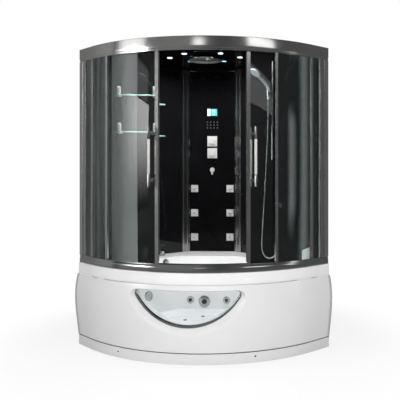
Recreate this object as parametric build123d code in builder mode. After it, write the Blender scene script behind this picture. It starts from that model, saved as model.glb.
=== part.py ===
"""Corner bath enclosure: a massage tub under a quarter-round steam shower cabin.

The two walls meet at the back, at +Y, and the round front faces -Y. Sizes are in
millimetres. The origin is on the floor, under the middle of the plan.
"""

import os
from math import cos, degrees, pi, radians, sin, sqrt, tan

from build123d import *

os.makedirs("parts", exist_ok=True)

# Overall sizes
front_radius = 1170.0
wing_length = 180.0
total_height = 2265.0
fit_gap = 0.3
round_sides = 12
plate_hole_gap = 0.6

# Tub and skirt
rim_z = 631.0
deck_drop = 11.0
deck_thickness = 9.0
rim_bottom_z = 549.0
rim_proud = 6.0
rim_thickness = 8.0
rail_seat_width = 64.0
basin_front = 76.0
basin_back = 190.0
basin_nose = 520.0
basin_floor_z = 150.0
basin_break_z = 190.0
basin_wall_slope = 46.0
basin_floor_slope = 62.0
basin_corner = 110.0
shell_thickness = 8.0
skirt_bottom_z = 84.0
skirt_thickness = 5.0
skirt_top_proud = 14.0
skirt_bulge = 36.0
skirt_bulge_z = 400.0
skirt_front_proud = 23.0
skirt_foot_proud = 8.0
groove_height = 7.0
plinth_thickness = 4.0
floor_gap = 4.0
screw_rise = 43.8
screw_angles = (-29.0, 20.5)
screw_hole_radius = 3.0
screw_head_radius = 7.0
screw_head_height = 3.0

# Window in the skirt
window_x = -60.0
window_half_width = 384.0
window_top_z = 514.0
window_bottom_z = 270.0
window_corner = 26.0
window_frame_width = 17.0
window_bevel_width = 50.0
window_recess_proud = 4.0
window_frame_proud = 9.0
window_pane_inset = 30.0
window_pane_thickness = 10.0

# Frame of the cabin
rail_height = 39.0
rail_wall = 3.0
rail_lip_height = 17.0
rail_inset = 2.0
fascia_height = 82.0
fascia_lip = 13.0
flange_width = 84.0
glass_inset = 10.0
glass_thickness = 6.0
groove_wall = 3.7
glass_seat_rise = 2.0
fascia_glass_depth = 55.0
post_width = 45.0
post_depth = 24.0
post_wall = 3.0
joint_width = 24.0
strike_width = 20.0
wing_strip_width = 38.0
wing_strip_gap = 2.0

# Doors
door_inset = 30.0
door_side_margin = 4.0
meeting_angle = -3.4
door_angle = 33.8
door_overlap_angle = 1.55
meeting_gap_angle = 0.04
left_open_angle = 10.0
right_open_angle = 21.3
lead_width = 26.0
trail_width = 16.0
top_rail_height = 20.0
door_head_drop = 70.0
door_foot_rise = 4.0
guide_fin_gap = 0.5
guide_fin_width = 3.0
track_end_angle = 52.9
wheel_radius = 11.0
wheel_width = 8.0
wheel_inset = 45.0
axle_radius = 2.6
bearing_gap = 0.05
track_ledge_drop = 58.0
track_ledge_thickness = 4.0
track_wall = 3.0
roller_angle_inset = 3.0
hanger_inset = 39.0
hanger_thickness = 4.4
hanger_width = 26.0
hanger_clearance = 0.5
wheel_end_room = 8.0
axle_head_radius = 5.0
axle_head_thickness = 2.0

# Door handles
handle_edge_distance = 48.0
handle_bottom_z = 1226.0
handle_height = 416.0
handle_bar_width = 26.0
handle_bar_depth = 20.0
handle_stand_off = 45.0
handle_sleeve_height = 240.0
handle_sleeve_extra = 3.0
handle_post_radius = 8.0
handle_post_inset = 38.0

# Walls, control column and roof
wall_back_gap = 12.0
wall_glass_thickness = 6.0
column_depth = 232.0
column_panel_thickness = 6.0
column_panel_half = 205.6
panel_start = 296.0
column_strip_width = 80.0
column_strip_depth = 12.0
column_rib_height = 3.0
roof_drop = 40.0
roof_thickness = 12.0
roof_lip = 3.0
cove_width = 52.0
cove_height = 12.0

# Fittings on the control column
display_width = 96.0
display_height = 74.0
display_z = 1848.0
display_depth = 7.0
valve_width = 86.0
valve_height = 90.0
valve_depth = 7.0
upper_valve_z = 1593.0
lower_valve_z = 1488.0
valve_knob_size = 44.0
valve_knob_depth = 30.0
valve_stem_radius = 11.0
hook_z = 1340.0
hook_radius = 22.0
hook_depth = 12.0
hook_peg_radius = 7.0
hook_peg_length = 34.0
trim_taper = 15.0
knob_taper = 2.0
fitting_taper = 30.0
jet_x = 157.0
jet_z = (1175.0, 961.0, 747.0)
jet_plate_size = 62.0
jet_plate_depth = 8.0
jet_barrel_radius = 13.0
jet_barrel_half = 13.0
jet_barrel_out = 4.5
jet_tip_radius = 7.0
jet_tip_length = 18.0

# Ceiling fittings
rain_head_y = 820.0
rain_head_radius = 140.0
rain_head_depth = 12.0
rain_head_drop = 16.0
rain_neck_radius = 18.0
spot_places = ((-276.0, 829.0), (-138.0, 996.0), (138.0, 996.0), (276.0, 829.0),
               (138.0, 662.0), (0.0, 606.0), (-138.0, 662.0))
spot_radius = 27.0
spot_depth = 5.0
vent_place = (450.0, 900.0)
vent_width = 104.0
vent_length = 320.0
vent_depth = 9.0

# Left wall shelves
shelf_start = 640.0
shelf_end = 1050.0
shelf_width = 122.0
shelf_thickness = 8.0
shelf_z = (1884.0, 1622.0)
bracket_inset = 36.0
bracket_width = 26.0
bracket_height = 78.0
bracket_plate = 7.0
bracket_boss_radius = 10.0
bracket_boss_length = 24.0
bracket_shelf_hold = 30.0

# Hand shower on the right wall
bar_along = 817.0
bar_away = 68.0
bar_radius = 9.0
bar_roof_gap = 94.0
bar_length = 705.0
bar_mount_inset = 32.0
bar_mount_radius = 11.0
slider_drop = 234.0
slider_height = 46.0
slider_outer_radius = 17.0
cheek_thickness = 4.0
cheek_reach = 7.5
knuckle_radius = 6.5
knuckle_width = 12.0
pin_radius = 2.6
holder_clearance = 1.0
holder_radius = 17.0
holder_height = 34.0
grip_radius = 11.5
grip_foot = 4.0
grip_collar_radius = 14.0
grip_collar_height = 9.0
grip_bend_rise = 24.0
grip_bend_reach = 33.0
head_away = 262.0
head_rise = 149.0
head_lean = 36.9
shower_head_radius = 42.0
shower_head_depth = 20.0
head_taper = 45.0
elbow_along = 858.0
elbow_z = 1148.0
elbow_plate_radius = 26.0
elbow_away = 50.0
elbow_radius = 12.0
elbow_drop = 54.0
elbow_plate_depth = 6.0
hose_radius = 7.0
hose_loop_z = 721.0
hose_fall = (
    (814.0, 113.0, 0.8613),
    (795.0, 104.0, 0.7117),
    (772.0, 95.0, 0.5551),
    (751.0, 90.0, 0.3994),
    (728.0, 86.0, 0.2542),
    (711.0, 84.0, 0.1328),
    (706.0, 82.0, 0.0427),
)
hose_turn = ((752.0, 76.0, 0.0), (822.0, 67.0, 0.0), (871.0, 58.0, 51.0), (866.0, 53.0, 147.0))
hose_last_rise = 259.0
nut_radius = 10.0
nut_height = 18.0
bend_share = 0.45

# Steam outlet on the right wall
steam_along = 1147.0
steam_z = 776.0
steam_size = 84.0
steam_depth = 14.0

# Tub fittings
tap_places = (("hot", 849.0), ("cold", 754.0), ("diverter", 636.0))
tap_away = 75.0
tap_base_radius = 26.0
tap_base_height = 7.0
tap_stem_radius = 7.0
tap_stem_height = 32.0
tap_handle_radius = 19.0
tap_handle_height = 44.0
tap_flutes = 6
overflow_along = 687.0
overflow_z = 581.0
overflow_radius = 30.0
overflow_depth = 9.0
overflow_knob_radius = 19.0
overflow_knob_depth = 16.0
overflow_stem_radius = 8.0
tub_jet_x = 150.0
tub_jet_z = 262.0
tub_jet_radius = 31.0
tub_fitting_depth = 8.0
suction_x = -34.0
suction_z = 250.0
suction_radius = 49.0
inlet_along = 864.0
inlet_z = 334.0
inlet_radius = 40.0
air_jet_places = ((-330.0, 800.0), (-161.0, 784.0), (-176.0, 975.0), (47.0, 811.0), (-34.0, 664.0),
                  (238.0, 784.0))
air_jet_radius = 17.0
air_jet_depth = 5.0
drain_place = (330.0, 900.0)
drain_radius = 35.0
drain_hole_radius = 23.0
drain_flange_depth = 4.0
trap_outlet_z = 62.0
trap_pipe_radius = 20.0

# Carcass under the tub
frame_tube = 30.0
frame_inset = 34.0
frame_beam_x = 110.0
upright_alongs = (130.0, 800.0, 1250.0)
front_upright_angle = 38.0
foot_radius = 28.0
foot_height = 12.0
foot_stud_radius = 6.0

# Pump under the deck
pump_along = 420.0
pump_radius = 62.0
pump_length = 190.0
pump_head_radius = 74.0
pump_head_length = 62.0
pump_pipe_radius = 25.0
pump_pipe_length = 60.0
pump_foot_height = 16.0
pump_foot_width = 30.0

# Worked-out sizes
root_two = sqrt(2.0)
wall_length = front_radius + wing_length
front_reach = wing_length * root_two + front_radius
corner_y = (front_reach + skirt_front_proud) / 2
arc_y = corner_y - wing_length * root_two
deck_z = rim_z - deck_drop
skirt_top_z = rim_bottom_z
rail_top_z = rim_z + rail_height
lip_top_z = rail_top_z + rail_lip_height
fascia_bottom_z = total_height - fascia_height
lip_bottom_z = fascia_bottom_z - fascia_lip
flange_z = total_height - 4.0
glass_outer = front_radius - glass_inset
glass_inner = glass_outer - glass_thickness
groove_outer = glass_inset - fit_gap
groove_inner = glass_inset + glass_thickness + fit_gap
fin_outer = groove_outer - groove_wall - 1.0
fin_inner = groove_inner + groove_wall
strike_half_angle = degrees(strike_width / 2 / front_radius)
door_outer = front_radius - door_inset
door_inner = door_outer - glass_thickness
stile_outer = door_outer + door_side_margin
stile_inner = door_inner - door_side_margin
door_head_z = total_height - door_head_drop
door_glass_top_z = door_head_z - top_rail_height
door_foot_z = rail_top_z + door_foot_rise
left_strike_angle = meeting_angle - door_angle + door_overlap_angle
right_strike_angle = meeting_angle + door_angle - door_overlap_angle
wall_face = wall_back_gap + wall_glass_thickness
column_y = corner_y - column_depth
roof_z = total_height - roof_drop


def wall_point(side, along, away):
    """Plan point on a wall: along it from the corner, and away from its back face."""
    return (side * (along - away) / root_two, corner_y - (along + away) / root_two)


def arc_point(angle, radius):
    """Plan point on the front arc, with the angle from the middle of the front."""
    turn = radians(angle)
    return (radius * sin(turn), arc_y - radius * cos(turn))


def front_line(inset, away):
    """Ends of the front's line: the wall end, the start of the arc and its middle."""
    radius = front_radius - inset
    end = [wall_point(side, wall_length - inset, away) for side in (-1, 1)]
    start = [arc_point(45.0 * side, radius) for side in (-1, 1)]
    return end, start, arc_point(0.0, radius)


def quadrant(front, back):
    """Plan of the whole corner, with the front and the walls moved in."""
    end, start, middle = front_line(front, back)
    corner = (0.0, corner_y - back * root_two)
    with BuildSketch() as plan:
        with BuildLine():
            Line(corner, end[1])
            Line(end[1], start[1])
            ThreePointArc(start[1], middle, start[0])
            Line(start[0], end[0])
            Line(end[0], corner)
        make_face()
    return plan.sketch


def front_strip(outer, inner, away=0.0):
    """Plan of a band along the whole front, from wall to wall."""
    out_end, out_start, out_middle = front_line(outer, away)
    in_end, in_start, in_middle = front_line(inner, away)
    with BuildSketch() as plan:
        with BuildLine():
            Line(out_end[0], out_start[0])
            ThreePointArc(out_start[0], out_middle, out_start[1])
            Line(out_start[1], out_end[1])
            Line(out_end[1], in_end[1])
            Line(in_end[1], in_start[1])
            ThreePointArc(in_start[1], in_middle, in_start[0])
            Line(in_start[0], in_end[0])
            Line(in_end[0], out_end[0])
        make_face()
    return plan.sketch


def arc_strip(outer, inner, first, last):
    """Plan of a band of the front arc between two radii and two angles."""
    middle = (first + last) / 2
    with BuildSketch() as plan:
        with BuildLine():
            ThreePointArc(arc_point(first, outer), arc_point(middle, outer), arc_point(last, outer))
            Line(arc_point(last, outer), arc_point(last, inner))
            ThreePointArc(arc_point(last, inner), arc_point(middle, inner), arc_point(first, inner))
            Line(arc_point(first, inner), arc_point(first, outer))
        make_face()
    return plan.sketch


def doorway_sector():
    """Plan of the doorway between the two strikes, through the whole front band."""
    return arc_strip(front_radius, front_radius - rail_seat_width, left_strike_angle + strike_half_angle,
                     right_strike_angle - strike_half_angle)


def basin_outline(inward):
    """Plan of the basin: round front, two sides along the walls and a flat nose at the back."""
    radius = front_radius - basin_front - inward
    back = basin_back + inward
    drop = back - wing_length
    reach = wing_length + sqrt(radius**2 - drop**2)
    nose = basin_nose + inward
    nose_x = nose - back * root_two
    left_end = wall_point(-1, reach, back)
    right_end = wall_point(1, reach, back)
    with BuildSketch() as plan:
        with BuildLine():
            Line((-nose_x, corner_y - nose), (nose_x, corner_y - nose))
            Line((nose_x, corner_y - nose), right_end)
            ThreePointArc(right_end, (0.0, arc_y - radius), left_end)
            Line(left_end, (-nose_x, corner_y - nose))
        make_face()
        fillet(plan.vertices(), radius=basin_corner)
    return plan.sketch


def basin_solid(extra, top_z):
    """Solid that fills the basin, or with extra thickness its outside."""
    with BuildPart() as solid:
        with BuildSketch(Plane.XY.offset(top_z)):
            add(basin_outline(-extra))
        with BuildSketch(Plane.XY.offset(basin_break_z)):
            add(basin_outline(basin_wall_slope - extra))
        with BuildSketch(Plane.XY.offset(basin_floor_z - extra)):
            add(basin_outline(basin_wall_slope + basin_floor_slope - extra))
        loft(ruled=True)
    return solid.part


def half_moon(grow):
    """Window shape: straight top, one arc below and rounded corners."""
    half = window_half_width + grow
    with BuildSketch(Plane.XZ.offset(-arc_y)) as shape:
        with BuildLine():
            Line((window_x - half, window_top_z), (window_x + half, window_top_z))
            ThreePointArc((window_x + half, window_top_z), (window_x, window_bottom_z - grow),
                          (window_x - half, window_top_z))
        make_face()
        fillet(shape.vertices(), radius=window_corner + grow / 2)
    return shape.sketch


def wall_plane(side, along, z, away=wall_face):
    """Plane on a wall's face: its normal points into the cabin and its Y axis points up."""
    x, y = wall_point(side, along, away)
    return Plane(origin=(x, y, z), x_dir=(1, -side, 0), z_dir=(-side, -1, 0))


def column_plane(x, z, out=0.0):
    """Plane on the control column's face, out towards the bather."""
    return Plane(origin=(x, column_y - out, z), x_dir=(1, 0, 0), z_dir=(0, -1, 0))


def front_plane(angle, z, beyond=0.0):
    """Level plane on the front line: X runs along the front and Y runs inwards."""
    turn = radians(angle)
    x, y = arc_point(angle, front_radius)
    return Plane(origin=(x + beyond * cos(turn), y + beyond * sin(turn), z),
                 x_dir=(cos(turn), sin(turn), 0), z_dir=(0, 0, 1))


def radial_plane(angle, radius, z):
    """Upright plane across a radius of the front arc: its normal points outwards."""
    turn = radians(angle)
    x, y = arc_point(angle, radius)
    return Plane(origin=(x, y, z), x_dir=(cos(turn), sin(turn), 0), z_dir=(sin(turn), -cos(turn), 0))


def side_plane(along, away, z):
    """Upright plane across the right wall: X points into the cabin, Y up, its normal to the corner."""
    x, y = wall_point(1, along, away)
    return Plane(origin=(x, y, z), x_dir=(-1, -1, 0), z_dir=(-1, 1, 0))


def basin_wall_plane(side, along, z):
    """Plane on the basin's sloping side wall; side 0 is the flat nose at the back."""
    slope = basin_wall_slope / (deck_z - basin_break_z)
    inward = (deck_z - z) * slope
    up = 1 / sqrt(1 + slope**2)
    if side == 0:
        x, y = along, corner_y - basin_nose - inward
        flat = (0.0, -1.0)
        x_dir = (1, 0, 0)
    else:
        x, y = wall_point(side, along, basin_back + inward)
        flat = (-side / root_two, -1 / root_two)
        x_dir = (-flat[1], flat[0], 0)
    return Plane(origin=(x, y, z), x_dir=x_dir, z_dir=(flat[0] * up, flat[1] * up, slope * up))


def moon_tunnel(grow, outer, inner):
    """Solid of the window's shape, cut off by two radii of the front arc."""
    with BuildPart() as tunnel:
        with BuildSketch(Plane.XZ.offset(-arc_y)):
            add(half_moon(grow))
        extrude(amount=front_reach)
        with BuildSketch(Plane.XY.offset(skirt_bottom_z)):
            add(arc_strip(outer, inner, -45.0, 45.0))
        extrude(amount=rim_z - skirt_bottom_z, mode=Mode.INTERSECT)
    return tunnel.part


def bend_radii(route):
    """Radius of the arc at each corner of a route, as large as its two runs allow."""
    radii = []
    for before, corner, after in zip(route, route[1:], route[2:]):
        half_turn = radians((corner - before).get_angle(after - corner)) / 2
        shorter_run = min((corner - before).length, (after - corner).length)
        radii.append(bend_share * shorter_run / tan(half_turn))
    return radii


pane_outer = front_radius - window_pane_inset
pane_inner = pane_outer - window_pane_thickness
collar_inner = front_radius - basin_front - basin_wall_slope - shell_thickness
collar_tunnel = moon_tunnel(window_frame_width, pane_inner - fit_gap, collar_inner)
window_tunnel = moon_tunnel(0.0, front_radius + skirt_bulge + skirt_thickness, collar_inner - basin_front)

# Tub shell: deck, rim and basin in one moulding
drain_x, drain_back = drain_place
drain_y = corner_y - drain_back
with BuildPart() as tub_shell:
    with BuildSketch(Plane.XY.offset(deck_z - deck_thickness)):
        add(quadrant(0.0, 0.0))
    extrude(amount=deck_thickness)
    with BuildSketch(Plane.XY.offset(rim_bottom_z)):
        add(front_strip(-rim_proud, rim_thickness))
    extrude(amount=rim_z - rim_bottom_z)
    with BuildSketch(Plane.XY.offset(deck_z)):
        add(front_strip(0.0, rail_seat_width))
    extrude(amount=deck_drop)
    add(basin_solid(shell_thickness, deck_z))
    add(collar_tunnel)
    add(basin_solid(0.0, deck_z + fit_gap), mode=Mode.SUBTRACT)
    add(window_tunnel, mode=Mode.SUBTRACT)
    with BuildSketch(Plane.XY.offset(basin_floor_z - shell_thickness)):
        with Locations((drain_x, drain_y)):
            Circle(drain_hole_radius + fit_gap)
    extrude(amount=2 * shell_thickness, mode=Mode.SUBTRACT)
tub_shell.part.label = "tub_shell"
export_step(tub_shell.part, "parts/tub_shell.step")

# Skirt: thin bulging apron swept along the front, with the recess round the window
skirt_end, skirt_start, skirt_middle = front_line(0.0, 0.0)
skirt_plane = Plane(origin=(skirt_end[0][0], skirt_end[0][1], 0), x_dir=(-1, -1, 0), z_dir=(-1, 1, 0))
tongue_top_z = skirt_bottom_z + skirt_thickness
tongue_foot_z = skirt_bottom_z - 4 * skirt_thickness
skirt_waist_z = (skirt_bulge_z + skirt_bottom_z) / 2
skirt_waist_proud = (skirt_bulge + skirt_foot_proud) / 2 + skirt_thickness
skirt_face = [(skirt_top_proud, skirt_top_z), (skirt_bulge, skirt_bulge_z),
              (skirt_waist_proud, skirt_waist_z), (skirt_foot_proud, skirt_bottom_z)]
skirt_back = [(reach - skirt_thickness, height) for reach, height in skirt_face]
skirt_middle_face = [(reach - skirt_thickness / 2, height) for reach, height in skirt_face]
recess_grow = window_frame_width + window_bevel_width
recess_outer = front_radius + skirt_bulge + skirt_thickness
recess_floor = front_radius + window_recess_proud


def front_route():
    """Line, arc and line that follow the front at floor level."""
    with BuildLine() as route:
        Line(skirt_end[0], skirt_start[0])
        ThreePointArc(skirt_start[0], skirt_middle, skirt_start[1])
        Line(skirt_start[1], skirt_end[1])
    return route.line


with BuildPart() as skirt_envelope:
    with BuildSketch(skirt_plane):
        with BuildLine():
            Spline(skirt_middle_face)
            Line(skirt_middle_face[-1], (-skirt_thickness, skirt_bottom_z))
            Line((-skirt_thickness, skirt_bottom_z), (-skirt_thickness, skirt_top_z))
            Line((-skirt_thickness, skirt_top_z), skirt_middle_face[0])
        make_face()
    sweep(path=front_route())
    add(moon_tunnel(recess_grow + skirt_thickness, recess_outer, recess_floor - skirt_thickness),
        mode=Mode.INTERSECT)

with BuildPart() as skirt:
    with BuildSketch(skirt_plane):
        with BuildLine():
            Spline(skirt_face)
            Line(skirt_face[-1], skirt_back[-1])
            Spline(skirt_back)
            Line(skirt_back[0], skirt_face[0])
        make_face()
        with BuildLine():
            Polyline((-rim_thickness, skirt_top_z), (skirt_top_proud - fit_gap, skirt_top_z),
                     (skirt_top_proud - fit_gap, skirt_top_z - skirt_thickness),
                     (-rim_thickness, skirt_top_z - skirt_thickness), close=True)
        make_face()
        with BuildLine():
            Polyline((skirt_foot_proud - fit_gap, tongue_top_z), (skirt_foot_proud - fit_gap, skirt_bottom_z),
                     (-fit_gap, skirt_bottom_z), (-fit_gap, tongue_foot_z),
                     (-skirt_thickness, tongue_foot_z), (-skirt_thickness, tongue_top_z), close=True)
        make_face()
    sweep(path=front_route())
    add(skirt_envelope.part)
    add(moon_tunnel(recess_grow, recess_outer, recess_floor), mode=Mode.SUBTRACT)
    add(moon_tunnel(window_frame_width + fit_gap, recess_outer, pane_inner), mode=Mode.SUBTRACT)
skirt.part.label = "skirt"
export_step(skirt.part, "parts/skirt.step")

# Plinth strip below the groove, with its two screws
plinth_top_z = skirt_bottom_z - groove_height
plinth_height = plinth_top_z - floor_gap
screw_z = floor_gap + screw_rise
screw_length = plinth_thickness + fit_gap
plinth_face = front_radius + plinth_thickness
with BuildPart() as plinth_strip:
    with BuildSketch(Plane.XY.offset(floor_gap)):
        add(front_strip(-plinth_thickness, 0.0))
    extrude(amount=plinth_height)
    for angle in screw_angles:
        with BuildSketch(radial_plane(angle, front_radius - skirt_thickness, screw_z)):
            Circle(screw_hole_radius + fit_gap)
        extrude(amount=3 * skirt_thickness, mode=Mode.SUBTRACT)
plinth_strip.part.label = "plinth_strip"
export_step(plinth_strip.part, "parts/plinth_strip.step")

with BuildPart() as plinth_screws:
    for angle in screw_angles:
        with BuildSketch(radial_plane(angle, front_radius, screw_z)):
            RegularPolygon(screw_hole_radius, round_sides)
        extrude(amount=screw_length)
        with BuildSketch(radial_plane(angle, plinth_face + fit_gap, screw_z)):
            RegularPolygon(screw_head_radius, round_sides)
        extrude(amount=screw_head_height, taper=trim_taper)
plinth_screws.part.label = "plinth_screws"
export_step(plinth_screws.part, "parts/plinth_screws.step")

# Window pane and its half-moon frame
with BuildPart() as window_pane:
    add(moon_tunnel(window_frame_width - fit_gap, pane_outer, pane_inner))
window_pane.part.label = "window_pane"
export_step(window_pane.part, "parts/window_pane.step")

with BuildPart() as window_frame:
    add(moon_tunnel(window_frame_width, front_radius + window_frame_proud, pane_outer + fit_gap))
    add(moon_tunnel(0.0, recess_outer, pane_inner), mode=Mode.SUBTRACT)
window_frame.part.label = "window_frame"
export_step(window_frame.part, "parts/window_frame.step")

# Bottom rail: hollow bar on the rim, with two fins for the fixed glass and one door guide
guide_outer = stile_inner - guide_fin_gap
with BuildPart() as bottom_rail:
    with BuildSketch(Plane.XY.offset(rim_z)):
        add(front_strip(rail_inset, rail_inset + rail_wall))
        add(front_strip(rail_seat_width - rail_wall, rail_seat_width))
    extrude(amount=rail_height)
    with BuildSketch(Plane.XY.offset(rail_top_z - rail_wall)):
        add(front_strip(rail_inset, rail_seat_width))
    extrude(amount=rail_wall)
    with BuildSketch(Plane.XY.offset(rail_top_z)):
        add(front_strip(fin_outer, groove_outer))
        add(front_strip(groove_inner, fin_inner))
        add(arc_strip(guide_outer, guide_outer - guide_fin_width, -track_end_angle, track_end_angle))
    extrude(amount=rail_lip_height)
bottom_rail.part.label = "bottom_rail"
export_step(bottom_rail.part, "parts/bottom_rail.step")

# Fascia: bright curved band, a flange behind its top edge, and a glazing channel over each side's fixed panes
with BuildPart() as fascia:
    with BuildSketch(Plane.XY.offset(fascia_bottom_z)):
        add(front_strip(0.0, rail_wall))
    extrude(amount=fascia_height)
    with BuildSketch(Plane.XY.offset(flange_z)):
        add(front_strip(rail_wall + fit_gap, flange_width))
    extrude(amount=total_height - flange_z)
    with BuildSketch(Plane.XY.offset(fascia_bottom_z)):
        add(front_strip(0.0, fin_outer - fit_gap))
    extrude(amount=rail_wall)
    with BuildSketch(Plane.XY.offset(lip_bottom_z)):
        add(front_strip(fin_outer, fin_inner))
        add(front_strip(groove_outer, groove_inner), mode=Mode.SUBTRACT)
        add(doorway_sector(), mode=Mode.SUBTRACT)
    extrude(amount=flange_z - fit_gap - lip_bottom_z)
    with BuildSketch(Plane.XY.offset(flange_z - fit_gap - rail_wall)):
        add(front_strip(fin_outer, fin_inner))
        add(doorway_sector(), mode=Mode.SUBTRACT)
    extrude(amount=rail_wall)
fascia.part.label = "fascia"
export_step(fascia.part, "parts/fascia.step")

# Top track: a cover, a web and a ledge that carries the door rollers
ledge_outer = front_radius - wheel_inset + fit_gap + hanger_clearance
ledge_inner = front_radius - wheel_inset - wheel_width - wheel_end_room
ledge_z = total_height - track_ledge_drop
with BuildPart() as top_track:
    with BuildSketch(Plane.XY.offset(flange_z - track_wall)):
        add(arc_strip(stile_outer, ledge_inner - track_wall, -track_end_angle, track_end_angle))
    extrude(amount=track_wall)
    with BuildSketch(Plane.XY.offset(ledge_z - track_ledge_thickness)):
        add(arc_strip(ledge_inner, ledge_inner - track_wall, -track_end_angle, track_end_angle))
    extrude(amount=flange_z - track_wall - fit_gap - ledge_z + track_ledge_thickness)
    with BuildSketch(Plane.XY.offset(ledge_z - track_ledge_thickness)):
        add(arc_strip(ledge_outer, ledge_inner + fit_gap, -track_end_angle, track_end_angle))
    extrude(amount=track_ledge_thickness)
top_track.part.label = "top_track"
export_step(top_track.part, "parts/top_track.step")

# Fixed panes: a flat one in each wing and a curved one beside each doorway
upright_bottom_z = lip_top_z + fit_gap
upright_height = lip_bottom_z - fit_gap - upright_bottom_z
glass_bottom_z = rail_top_z + glass_seat_rise
glass_height = lip_bottom_z + fascia_glass_depth - glass_bottom_z
glass_depth = glass_inset + glass_thickness / 2
web_half = 3.0
pane_gap_angle = degrees((web_half + fit_gap) / front_radius)
strip_start = post_width + wing_strip_gap
strip_middle = wing_length - strip_start - wing_strip_width / 2
cap_width_in = fin_inner - groove_inner
cap_width_out = groove_outer - fin_outer


def fixed_panes(side, strike_angle):
    """Flat wing pane and curved pane of one side, standing in the rail's groove."""
    wing_from = web_half + fit_gap
    wing_to = wing_length - strip_start - 2 * web_half - fit_gap
    arc_from = 45.0 - pane_gap_angle
    arc_to = abs(strike_angle) + 2 * pane_gap_angle - strike_half_angle
    with BuildPart() as panes:
        with BuildSketch(front_plane(45.0 * side, glass_bottom_z)):
            with Locations((side * (wing_from + wing_to) / 2, glass_depth)):
                Rectangle(wing_to - wing_from, glass_thickness)
        extrude(amount=glass_height)
        with BuildSketch(Plane.XY.offset(glass_bottom_z)):
            add(arc_strip(glass_outer, glass_inner, side * arc_to, side * arc_from))
        extrude(amount=glass_height)
    return panes.part


def upright_bar(angle, beyond, width, web_from, web_to):
    """H or U shaped upright that grips the edges of the fixed panes."""
    with BuildPart() as bar:
        with BuildSketch(front_plane(angle, upright_bottom_z, beyond)):
            with Locations((0, fin_outer + cap_width_out / 2)):
                Rectangle(width, cap_width_out)
            with Locations((0, groove_inner + cap_width_in / 2)):
                Rectangle(width, cap_width_in)
            with Locations(((web_from + web_to) / 2, (groove_outer + groove_inner) / 2)):
                Rectangle(web_to - web_from, groove_inner - groove_outer)
        extrude(amount=upright_height)
    return bar.part


sides = (-1, 1)
strike_angles = (left_strike_angle, right_strike_angle)
with BuildPart() as fixed_glass:
    for side, strike_angle in zip(sides, strike_angles):
        add(fixed_panes(side, strike_angle))
fixed_glass.part.label = "fixed_glass"
export_step(fixed_glass.part, "parts/fixed_glass.step")

# Uprights: the joint of each two panes, the doorway edges and the strips beside the wall posts
with BuildPart() as uprights:
    for side, strike_angle in zip(sides, strike_angles):
        strip_web = side * wing_strip_width / 2
        strike_web = -side * strike_width / 2
        add(upright_bar(45.0 * side, 0.0, joint_width, -web_half, web_half))
        add(upright_bar(strike_angle, 0.0, strike_width, min(strike_web, strike_web + side * web_half),
                        max(strike_web, strike_web + side * web_half)))
        add(upright_bar(45.0 * side, side * strip_middle, wing_strip_width,
                        min(strip_web, strip_web - side * web_half),
                        max(strip_web, strip_web - side * web_half)))
uprights.part.label = "uprights"
export_step(uprights.part, "parts/uprights.step")

# Wall posts: hollow bars that end the walls
with BuildPart() as wall_posts:
    for side in sides:
        with BuildSketch(front_plane(45.0 * side, lip_top_z, side * (wing_length - post_width / 2))):
            with Locations((0, post_depth / 2)):
                Rectangle(post_width, post_depth)
                Rectangle(post_width - 2 * post_wall, post_depth - 2 * post_wall, mode=Mode.SUBTRACT)
        extrude(amount=lip_bottom_z - lip_top_z)
wall_posts.part.label = "wall_posts"
export_step(wall_posts.part, "parts/wall_posts.step")

# Wall panels of dark glass
wall_glass_end = wall_length - post_depth - fit_gap
for side, name in zip(sides, ("left", "right")):
    with BuildPart() as wall_panel:
        with BuildSketch(wall_plane(side, (panel_start + wall_glass_end) / 2, (deck_z + roof_z) / 2,
                                    wall_back_gap)):
            Rectangle(wall_glass_end - panel_start, roof_z - deck_z)
        extrude(amount=wall_glass_thickness)
        with BuildSketch(wall_plane(side, wall_length, (deck_z + rail_top_z) / 2, wall_back_gap)):
            Rectangle(2 * (rail_seat_width + fit_gap), rail_top_z - deck_z)
        extrude(amount=wall_glass_thickness, mode=Mode.SUBTRACT)
    wall_panel.part.label = f"{name}_wall_panel"
    export_step(wall_panel.part, f"parts/{name}_wall_panel.step")

# Control column: flat panel across the corner, and a ribbed bright strip on each wall
column_top_z = roof_z - cove_height
column_height = column_top_z - deck_z
column_middle_z = (column_top_z + deck_z) / 2
panel_back = column_panel_half - column_panel_thickness
with BuildPart() as column_panel:
    with BuildSketch(Plane.XY.offset(deck_z)):
        with BuildLine():
            Polyline((-column_panel_half, column_y), (column_panel_half, column_y),
                     (panel_back, column_y + column_panel_thickness),
                     (-panel_back, column_y + column_panel_thickness), close=True)
        make_face()
    extrude(amount=column_height)
    with BuildSketch(column_plane(0.0, 0.0)):
        for x in (-jet_x, jet_x):
            for z in jet_z:
                with Locations((x, z)):
                    Rectangle(2 * (jet_barrel_half + fit_gap), 2 * (jet_barrel_radius + fit_gap))
        for z in (upper_valve_z, lower_valve_z):
            with Locations((0.0, z)):
                RegularPolygon(valve_stem_radius + plate_hole_gap, round_sides, major_radius=False)
    extrude(amount=-column_panel_thickness, mode=Mode.SUBTRACT)
column_panel.part.label = "column_panel"
export_step(column_panel.part, "parts/column_panel.step")

strip_from = (column_panel_half + column_depth) / root_two + 2 * fit_gap
rib_step = column_strip_width / 4
with BuildPart() as column_strips:
    for side in (-1, 1):
        with BuildSketch(wall_plane(side, strip_from + column_strip_width / 2, column_middle_z)):
            Rectangle(column_strip_width, column_height)
        extrude(amount=column_strip_depth)
        with BuildSketch(wall_plane(side, strip_from + column_strip_width / 2, column_middle_z,
                                    wall_face + column_strip_depth)):
            with GridLocations(2 * rib_step, 0, 2, 1):
                Rectangle(rib_step, column_height)
        extrude(amount=column_rib_height, taper=fitting_taper)
column_strips.part.label = "column_strips"
export_step(column_strips.part, "parts/column_strips.step")

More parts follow.
